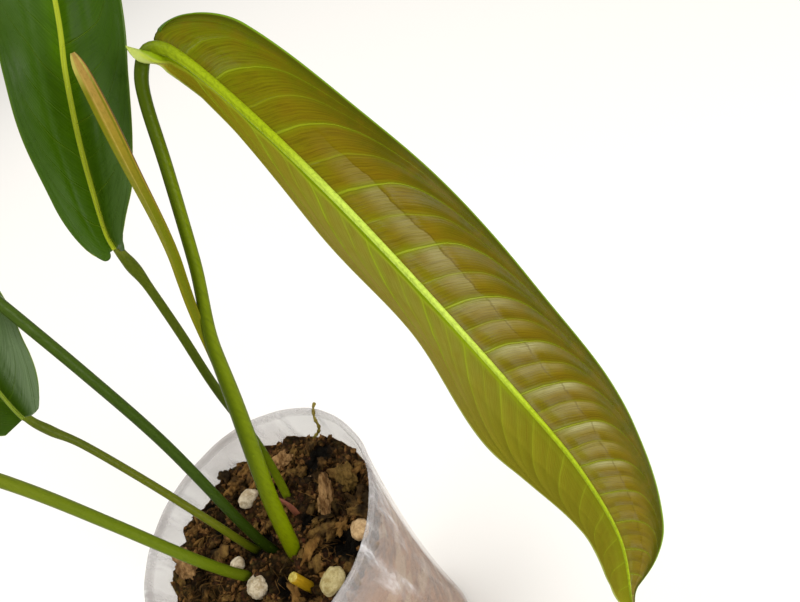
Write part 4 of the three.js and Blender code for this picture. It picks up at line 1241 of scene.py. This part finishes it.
def pot_shape():
    profile = pot_profile()
    angle = around(POT_SIDES)
    near_lip = smooth_step(profile[:, 1], 120, 149)[:, None]
    dent = near_lip * (0.28 * np.sin(3 * angle + 0.6) + 0.16 * np.sin(8 * angle + 1.9)
                       + 0.08 * np.sin(19 * angle))
    radius = profile[:, :1] + dent * (profile[:, :1] > DENTS_BEYOND) - LIP_DROOP * near_lip
    wave = LIP_WAVE * np.sin(5 * angle + 0.4) - LIP_WAVE
    height = profile[:, 1:] + near_lip * (profile[:, 1:] > LIP_ABOVE) * wave
    rings = [radius * np.cos(angle), radius * np.sin(angle), np.broadcast_to(height, radius.shape)]
    return turned_out(tube(np.stack(rings, -1)))


print("pot radius at its foot and rim in millimetres:", round(pot_radius(0), 1), pot_radius(POT_HEIGHT))

# %% Frosted plastic
def pot_look():
    look = Look("frosted_plastic")
    streak = look.noise(look.place((1.0, 1.0, 0.06)), 150.0, 3.0, 0.55)
    thin = look.noise(look.place((1.0, 1.0, 0.03)), 620.0, 2.0, 0.5)
    wide = look.noise(look.place((1.0, 1.0, 0.5)), 38.0, 3.0)
    white = look.times(look.span(streak, 0.48, 0.8), look.span(thin, 0.35, 0.65, 0.3, 1.0))
    # Warm pinkish base: partly the plastic's own tint, partly a painted warm reflection.
    look.color = look.mix(look.span(wide, 0.35, 0.65), rgb(184, 166, 156), rgb(182, 154, 136))
    look.over(look.span(look.height(), 0.112, 0.146, 0.0, 0.65), rgb(168, 171, 176))
    look.over(white, rgb(226, 226, 230))
    cloud = look.times(look.span(wide, 0.38, 0.68), 0.14)
    opaque = look.plus(look.scaled(white, 0.4, 0.24), cloud)
    at_lip = look.span(look.height(), 0.1458, 0.1478, 0.0, 0.2)
    return look.finish(look.span(wide, 0.3, 0.7, 0.2, 0.32), look.scaled(thin, 0.3, streak), 0.0004, 0.5,
                       Alpha=look.plus(opaque, at_lip))


points, faces = pot_shape()
pot = add_piece("frosted_cup", points, faces, [pot_look()])
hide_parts("pot")

# %% [markdown]
# ## Potting mix
# Bark, coir fibre and white mineral grains, damp and open. One crumbly bed fills the pot, and loose
# bits lie on it. A displaced plane would do for the bed, but the clear pot shows its sides too, so
# it is a closed body that reaches down along the wall. Single clumps stand up and hollows go down,
# because a flat bed with bits on it looks like gravel.

# %% Mix surface
MIX_LEVEL = 137.6
HOLLOWS = [
    (20.6, 20.3, 4.5, 2.6), (23.5, -17.4, 5, 3), (-5.6, 0.5, 6, 2.4), (14.5, -2, 4.5, 2.4),
    (28.3, -21.5, 5, 2.6), (-25, 31, 4, 2.2), (0, -21.5, 4.5, 2.2), (-20, 18, 4, 2.2),
    (-22, -22, 5, 2.2), (3, 27, 4, 2.2), (29, 24, 4, 2.2),
]


def mix_height(x, y):
    """Height of the bed without its crumbs: a slight slope with a few low waves."""
    coarse = np.sin(0.23 * x + 0.9) * np.cos(0.26 * y - 0.4)
    fine = np.sin(0.61 * x - 0.2 * y + 0.5) * np.cos(0.52 * y + 0.33 * x)
    return MIX_LEVEL - 0.05 * x - 0.04 * y + 1.5 * (0.65 * coarse + 0.55 * fine)


def hollow_depth(x, y):
    """How deep the hollows between the clumps are at a place."""
    return sum(deep * math.exp(-((x - a) ** 2 + (y - b) ** 2) / wide**2) for a, b, wide, deep in HOLLOWS)


def crumble(x, y, scale):
    return noise.fractal(Vector((x * scale, y * scale, 3.7)), 0.9, 2.1, 5)


def mix_surface(x, y):
    """Height of the crumbly surface at a place."""
    clod = noise.cell(Vector((x * 0.24, y * 0.24, 0.0)))
    clumps = 2.6 * crumble(x, y, 0.11) + 1.7 * crumble(x, y, 0.38) + 1.2 * (clod - 0.5)
    return float(mix_height(x, y)) + clumps - hollow_depth(x, y)


print("height of the mix in the middle, in millimetres:", round(mix_surface(0, 0), 1))

# %% Body of the mix
MIX_SIDES, MIX_RINGS, MIX_WALL_ROWS = 190, 96, 34
MIX_EDGE_LEVEL = 134
MIX_TOP, MIX_FLOOR = 131, 3
MIX_GAP = 0.6


def mix_wall(angle, z):
    """Radius of the slightly uneven side of the mix, just inside the pot's wall."""
    bumps = abs(noise.noise(Vector((math.cos(angle) * 9, math.sin(angle) * 9, z / 6))))
    return pot_radius(z) - WALL - MIX_GAP - 0.5 * bumps


def flat_ring(radii, angles):
    return [(radius * math.cos(angle), radius * math.sin(angle)) for radius, angle in zip(radii, angles)]


def mix_shape():
    """The bed, with a layer that says how far a point lies in a hollow, and whether it is at the wall."""
    edge = pot_radius(MIX_EDGE_LEVEL) - WALL - MIX_GAP
    angles = around(MIX_SIDES)
    rings = []
    for radius in edge * np.linspace(0.004, 1, MIX_RINGS):
        rings.append([(x, y, mix_surface(x, y)) for x, y in flat_ring([radius] * MIX_SIDES, angles)])
    for z in np.linspace(MIX_TOP, MIX_FLOOR, MIX_WALL_ROWS):
        radii = [mix_wall(angle, z) for angle in angles]
        rings.append([(x, y, z) for x, y in flat_ring(radii, angles)])
    points, faces = turned_out(tube(rings))
    shade = []
    for x, y, z in points:
        at_wall = z < MIX_TOP + 0.5 or math.hypot(x, y) > edge - 0.3
        shade.append([0, 1] if at_wall else [min(hollow_depth(x, y) / 2, 1), 0])
    return points, faces, {"hollow": shade}


print("edge of the mix in millimetres:", round(mix_wall(0, MIX_TOP), 1))

# %% Material of the mix
def mix_look():
    look = Look("potting_mix")
    place = look.place()
    hollow, wall = look.uv("hollow")
    crumbs, tint = look.cells(place, 520.0)
    coarse = look.noise(place, 150.0, 5.0, 0.7)
    fine = look.noise(place, 1500.0, 4.0, 0.7)
    look.color = look.mix(look.span(coarse, 0.36, 0.66), rgb(68, 44, 22), rgb(124, 88, 50))
    look.over(0.35, look.mix(1.0, look.color, tint, "MULTIPLY"))
    look.over(look.span(fine, 0.55, 0.8, 0.0, 0.6), rgb(140, 104, 56))
    look.over(look.span(look.noise(place, 45.0, 2.0), 0.5, 0.66, 0.0, 0.4), rgb(98, 82, 36))
    # Painted shade: dark in the sunken gaps between the crumbs.
    look.over(look.span(crumbs, 0.25, 0.7, 0.0, 0.7), rgb(14, 9, 3))
    dampen(look, 0.75)
    # Painted shade: near black down in the hollows of the bed.
    look.over(look.span(hollow, 0.15, 0.75, 0.0, 0.95), rgb(7, 5, 2))
    damp = look.mix(look.span(coarse, 0.4, 0.62), rgb(150, 104, 58), rgb(96, 66, 38))
    damp = look.mix(look.span(look.noise(place, 60.0, 3.0), 0.5, 0.62, 0.0, 0.8), damp, rgb(176, 158, 128))
    look.over(look.span(wall, 0.3, 0.9), damp)
    relief = look.scaled(fine, 0.6, look.minus(coarse, crumbs))
    return look.finish(look.span(fine, 0.3, 0.8, 0.75, 0.95), relief, 0.0012, 0.1)


points, faces, layers = mix_shape()
mix = add_piece("crumbly_mix", points, faces, [mix_look()], layers)
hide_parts("potting_mix")

# %% [markdown]
# ## Grains and chips
# Puffed white grains are rounded, and bark chips are flat and angular. Both start as a ball that is
# stretched to the size of its solid, then roughened by a noise; a noise of cells adds the angles.
# They could be carved by hand, but with the litter there are hundreds of them, so each is shaped by
# numbers from a seed, and comes out the same every time.

# %% Grains and chips
GRAINS = {
    "perlite_1": (-5.6, 22, 3.9, 1.15, 20, 0.9), "perlite_2": (-16, -2.6, 2.9, 1.1, 60, 0.9),
    "perlite_3": (-9.6, -16, 4.1, 1.15, 100, 0.85), "perlite_4": (17.7, -31.2, 4.3, 1.2, 30, 0.85),
    "perlite_5": (32.5, -19, 3.6, 1.1, 70, 0.9), "bark_1": (24.5, 3.5, 4.6, 2, 75, 0.5),
    "bark_2": (35, 4.5, 5, 1.5, 95, 0.6), "bark_3": (-36, 10, 5, 1.6, 110, 0.6),
    "bark_4": (10, 30, 4.6, 1.5, 5, 0.6),
}
FIRST_GRAIN_SEED = 40
GRAIN_SHRINK = 0.98
GRAIN_RISE = 0.25
PERLITE_LUMP = {"detail": 4, "rough": 0.14}
BARK_LUMP = {"detail": 5, "rough": 0.34, "angular": 0.16}
PERLITE = (520.0, 0.85, 0.0008, EVEN, 0.2)
perlite = plain_look("perlite", (226, 212, 186), (178, 158, 126), *PERLITE)
stained = plain_look("perlite_stained", (206, 192, 142), (170, 150, 96), *PERLITE)
warm = plain_look("perlite_warm", (222, 190, 144), (178, 142, 100), *PERLITE)
bark = plain_look("bark", (92, 62, 32), (164, 128, 84), 420.0, 0.85, 0.0014, (1, 0.25, 1), 0.1)
olive = plain_look("bark_olive", (82, 62, 26), (128, 100, 52), 420.0, 0.85, 0.0014, (1, 0.3, 1), 0.1)
GRAIN_PAINTS = {"perlite_4": stained, "perlite_5": warm, "bark_2": olive}


def lump(radii, seed, detail, rough, angular=0.0):
    """A stone: a ball of faces, stretched and roughened. Points in millimetres round zero."""
    build = bmesh.new()
    bmesh.ops.create_icosphere(build, subdivisions=detail, radius=1.0)
    points = np.array([tuple(vertex.co) for vertex in build.verts])
    faces = [tuple(vertex.index for vertex in face.verts) for face in build.faces]
    build.free()
    draw = random.Random(seed)
    shift = Vector([draw.uniform(-50, 50) for _ in range(3)])
    size = np.array([1 + rough * noise.fractal(Vector(p) * 1.3 + shift, 0.8, 2.0, 4)
                     + angular * (noise.cell(Vector(p) * 1.6 + shift) - 0.5) for p in points])
    return points * size[:, None] * np.array(radii), faces


for number, (name, (x, y, radius, stretch, angle, flat)) in enumerate(GRAINS.items()):
    pale = name.startswith("perlite")
    radii = [GRAIN_SHRINK * radius * stretch, GRAIN_SHRINK * radius / math.sqrt(stretch),
             GRAIN_SHRINK * radius * flat]
    points, faces = lump(radii, FIRST_GRAIN_SEED + number, **(PERLITE_LUMP if pale else BARK_LUMP))
    c, s = math.cos(math.radians(angle)), math.sin(math.radians(angle))
    points = points @ np.array([[c, -s, 0], [s, c, 0], [0, 0, 1]]).T
    centre = np.array([x, y, float(mix_height(x, y)) + GRAIN_RISE * radius * flat])
    paint = GRAIN_PAINTS.get(name, perlite if pale else bark)
    grain = add_piece(f"{name}_stone", points + centre, faces, [paint])
    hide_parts(name)

# %% [markdown]
# ## Litter on the mix
# Small chips, crumbs and fibres lie loose on the bed. Geometry nodes could scatter them, but it takes
# many nodes to keep them off the stems and grains, and a short loop does it in a line each. Each
# sort is joined into one piece, so that hundreds of bits stay light.

# %% Free places
STEMS = [
    (6.5, -9.5), (9.6, 15), (-9, 1), (-1.8, -4.1), (-13, -8.5), (1.6, -8.2), (8.2, -26.2), (11.4, 3.3),
]
STEM_CLEARANCE = 2.2
DEEPEST_HOLLOW = 1.2


def scatter(count, draw, clearance):
    """Places on the mix that keep clear of the stems, the perlite grains, the wall and the deepest hollows.
    """
    places = []
    limit = pot_radius(136) - WALL - clearance
    stones = [grain for name, grain in GRAINS.items() if name.startswith("perlite")]
    while len(places) < count:
        radius, angle = limit * math.sqrt(draw.random()), draw.uniform(0, 2 * math.pi)
        x, y = radius * math.cos(angle), radius * math.sin(angle)
        near_stem = any(math.hypot(x - a, y - b) < STEM_CLEARANCE + clearance for a, b in STEMS)
        near_stone = any(math.hypot(x - g[0], y - g[1]) < g[2] + 0.5 * clearance for g in stones)
        if not (near_stem or near_stone or hollow_depth(x, y) > DEEPEST_HOLLOW):
            places.append((x, y))
    return places


print("a free place on the mix:", [round(value, 1) for value in scatter(1, random.Random(1), 1.0)[0]])

# %% Scattered bits
ANGULAR_BITS = 0.25
HIGHEST_SEED = 10**6


def joined(parts):
    """Many small bodies as one list of points and faces."""
    points, faces, first = [], [], 0
    for part_points, part_faces in parts:
        points.append(part_points)
        faces += [tuple(index + first for index in face) for face in part_faces]
        first += len(part_points)
    return np.vstack(points), faces


def turned(points, draw, tilt):
    """Points turned anyhow about the upright axis, and tilted a little about the other two."""
    spin = Matrix.Rotation(draw.uniform(0, 2 * math.pi), 3, "Z")
    for axis in "XY":
        spin = spin @ Matrix.Rotation(draw.gauss(0, tilt), 3, axis)
    return points @ np.array(spin).T


def scattered_lumps(count, seed, sizes, shape, tilt, detail, rough):
    """Lumps of many sizes; shape gives the least and greatest stretch along each axis."""
    draw = random.Random(seed)
    parts = []
    for x, y in scatter(count, draw, sizes[1] * 0.8):
        size = draw.uniform(*sizes)
        radii = [size * draw.uniform(*reach) for reach in shape]
        points, faces = lump(radii, draw.randrange(HIGHEST_SEED), detail, rough, ANGULAR_BITS)
        points = turned(points, draw, tilt)
        parts.append((points + np.array([x, y, mix_surface(x, y) + GRAIN_RISE * size]), faces))
    return joined(parts)


print("faces of one small chip:", len(lump((1, 1, 1), 0, 3, 0.5)[1]))

# %% Fibres
FIBRE_POINTS = 7
FIBRE_STEPS = 12


def strand_shape(curve, lengths, radius, sides, lean):
    """A thin round strand along a curve; lean is any way that the curve never follows."""
    along = curve.direction(lengths)
    across = unit(np.cross(along, np.array(lean)))
    angle = around(sides)
    return tube(rings_round(curve.place(lengths), across, np.cross(along, across),
                            radius[:, None] * np.cos(angle), radius[:, None] * np.sin(angle)))


def fibre_places(x, y, draw):
    """Points of one bowed fibre that lies on the mix and stays inside the pot."""
    heading = draw.uniform(0, 2 * math.pi)
    length = draw.uniform(4, 11)
    bow = draw.uniform(-0.5, 0.5)
    places = []
    for k in range(FIBRE_POINTS):
        part = k / (FIBRE_POINTS - 1) - 0.5
        step, side = part * length, bow * length * (0.25 - part**2)
        px = x + step * math.cos(heading) - side * math.sin(heading)
        py = y + step * math.sin(heading) + side * math.cos(heading)
        inner = min(1.0, (pot_radius(137) - WALL - 1.5) / max(math.hypot(px, py), 1e-6))
        px, py = px * inner, py * inner
        places.append((px, py, mix_surface(px, py) + draw.uniform(0.1, 1.1)))
    return places


def fibres(count, seed):
    draw = random.Random(seed)
    parts = []
    for x, y in scatter(count, draw, 5.0):
        curve = Curve(fibre_places(x, y, draw), 60)
        lengths = np.linspace(0, curve.length, FIBRE_STEPS)
        radius = draw.uniform(0.1, 0.28) * (1 - 0.6 * np.abs(lengths / curve.length - 0.4))
        parts.append(strand_shape(curve, lengths, radius, 5, (0.1, 0.2, 1.0)))
    return joined(parts)


print("points of one fibre:", len(fibre_places(0, 20, random.Random(1))))

# %% Litter
ALONG_CHIP = (1, 0.3, 1)
dark_chip = plain_look("chip_dark", (80, 55, 26), (122, 94, 48), 420.0, 0.8, 0.0007, ALONG_CHIP, 0.1, 0.9)
red_chip = plain_look("chip_red", (140, 104, 54), (92, 62, 26), 420.0, 0.75, 0.0007, ALONG_CHIP, 0.1, 0.85)
crumb = plain_look("crumb", (88, 59, 30), (140, 103, 60), 700.0, 0.9, 0.0005, gloss=0.05, damp=0.9)
fibre = plain_look("fibre", (116, 86, 44), (72, 48, 24), 600.0, 0.8, 0.0002, gloss=0.1, damp=0.6)
DARK_SHAPE = ((0.9, 1.6), (0.6, 1.0), (0.35, 0.7))
RED_SHAPE = ((1.0, 1.9), (0.5, 0.9), (0.3, 0.6))
CRUMB_SHAPE = ((0.7, 1.3), (0.6, 1.1), (0.5, 0.9))
HEAPS = {
    "chips_dark": (scattered_lumps(80, 5, (1.6, 3.6), DARK_SHAPE, 0.5, 3, 0.6), dark_chip, "bark"),
    "chips_red": (scattered_lumps(44, 6, (1.4, 3.2), RED_SHAPE, 0.5, 3, 0.5), red_chip, "bark"),
    "crumbs": (scattered_lumps(760, 7, (0.45, 1.4), CRUMB_SHAPE, 0.8, 2, 0.7), crumb, "potting_mix"),
    "fibres": (fibres(300, 8), fibre, "potting_mix"),
}
for name, ((points, faces), paint, slot) in HEAPS.items():
    add_piece(name, points, faces, [paint])

# %% [markdown]
# ## Strand over the rim, and the buried crown
# A dry root hangs over the rim. A bevelled curve would be even all along, so it is one more tube of
# rings, with a thickness that goes up and down. The crown and its roots are buried, so their solid
# stays and only gets a new material.

# %% Strand and crown
STRAND = [
    (38.2, 33, 150.9), (36.9, 30.6, 151.0), (35.3, 28, 148.6), (34.6, 26.6, 145), (32.5, 27.5, 141.5),
    (29, 29, 138.6),
]
STRAND_RADIUS = 0.62

curve = Curve(STRAND, 400)
lengths = np.linspace(0, curve.length, 40)
radius = STRAND_RADIUS * (1 + 0.25 * np.sin(1.9 * lengths) + 0.15 * np.sin(4.3 * lengths))
points, faces = strand_shape(curve, lengths, radius, 8, (0.3, 0.9, 0.2))
strand = plain_look("strand", (134, 122, 56), (98, 84, 32), 700.0, 0.7, 0.0002, gloss=0.1)
add_piece("root_strand", points, faces, [strand])

root_skin = plain_look("root_skin", (168, 146, 102), (190, 170, 126), 500.0, 0.75, 0.0004)
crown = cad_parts["crown_and_roots"]
crown.data.materials.clear()
crown.data.materials.append(root_skin)

# %% [markdown]
# ## Light and floor
# A pale floor, and three soft area lights: a broad one above, one beside the camera that makes glossy
# highlight patches on the main leaf, and a weak one from the left. A bright world fills the shadows.
# Point lights would be simpler, but they would leave hard shadows that the photograph doesn't have.

# %% Floor
FLOOR_HALF = 3.0
FLOOR_DROP = 0.0002
CORNERS = [(-1, -1), (1, -1), (1, 1), (-1, 1)]

floor_mesh = bpy.data.meshes.new("floor")
floor_mesh.from_pydata([(FLOOR_HALF * x, FLOOR_HALF * y, 0) for x, y in CORNERS], [], [(0, 1, 2, 3)])
floor = bpy.data.objects.new("floor", floor_mesh)
floor.location.z = -FLOOR_DROP
bpy.context.scene.collection.objects.link(floor)
floor_look = Look("floor")
FLOOR_VALUES = {"Base Color": (0.82, 0.81, 0.79), "Roughness": 0.95, "Specular IOR Level": 0.1}
for name, value in FLOOR_VALUES.items():
    floor_look.put(floor_look.shader.inputs[name], value)
floor_mesh.materials.append(floor_look.material)
print("floor side in metres:", 2 * FLOOR_HALF)

# %% Lights
WARM_WHITE = (1.0, 0.98, 0.94)
WORLD_COLOR = (1.0, 0.98, 0.95, 1.0)
WORLD_STRENGTH = 0.62
LEAF_LOWER_PART = (0.1, -0.045, 0.19)


def add_light(name, place, target, size, power):
    """A soft rectangle of light that faces its target. Places in metres, power in watts."""
    data = bpy.data.lights.new(name, "AREA")
    data.shape = "RECTANGLE"
    data.size, data.size_y = size
    data.energy = power
    data.color = WARM_WHITE
    light = bpy.data.objects.new(name, data)
    bpy.context.scene.collection.objects.link(light)
    light.location = place
    light.rotation_euler = (Vector(target) - Vector(place)).to_track_quat("-Z", "Y").to_euler()


add_light("above", (-0.46, 0.66, 2.3), (0.02, 0.0, 0.18), (1.75, 1.75), 40.0)
add_light("beside_camera", (0.43, -0.6, 0.36), LEAF_LOWER_PART, (0.2, 0.46), 4.2)
add_light("left", (-0.9, -0.35, 0.7), (0.0, 0.0, 0.2), (0.6, 0.6), 2.0)
world = bpy.data.worlds.new("world")
bpy.context.scene.world = world
world.use_nodes = True
background = world.node_tree.nodes["Background"]
background.inputs["Color"].default_value = WORLD_COLOR
background.inputs["Strength"].default_value = WORLD_STRENGTH
bpy.context.scene.view_settings.view_transform = "Standard"
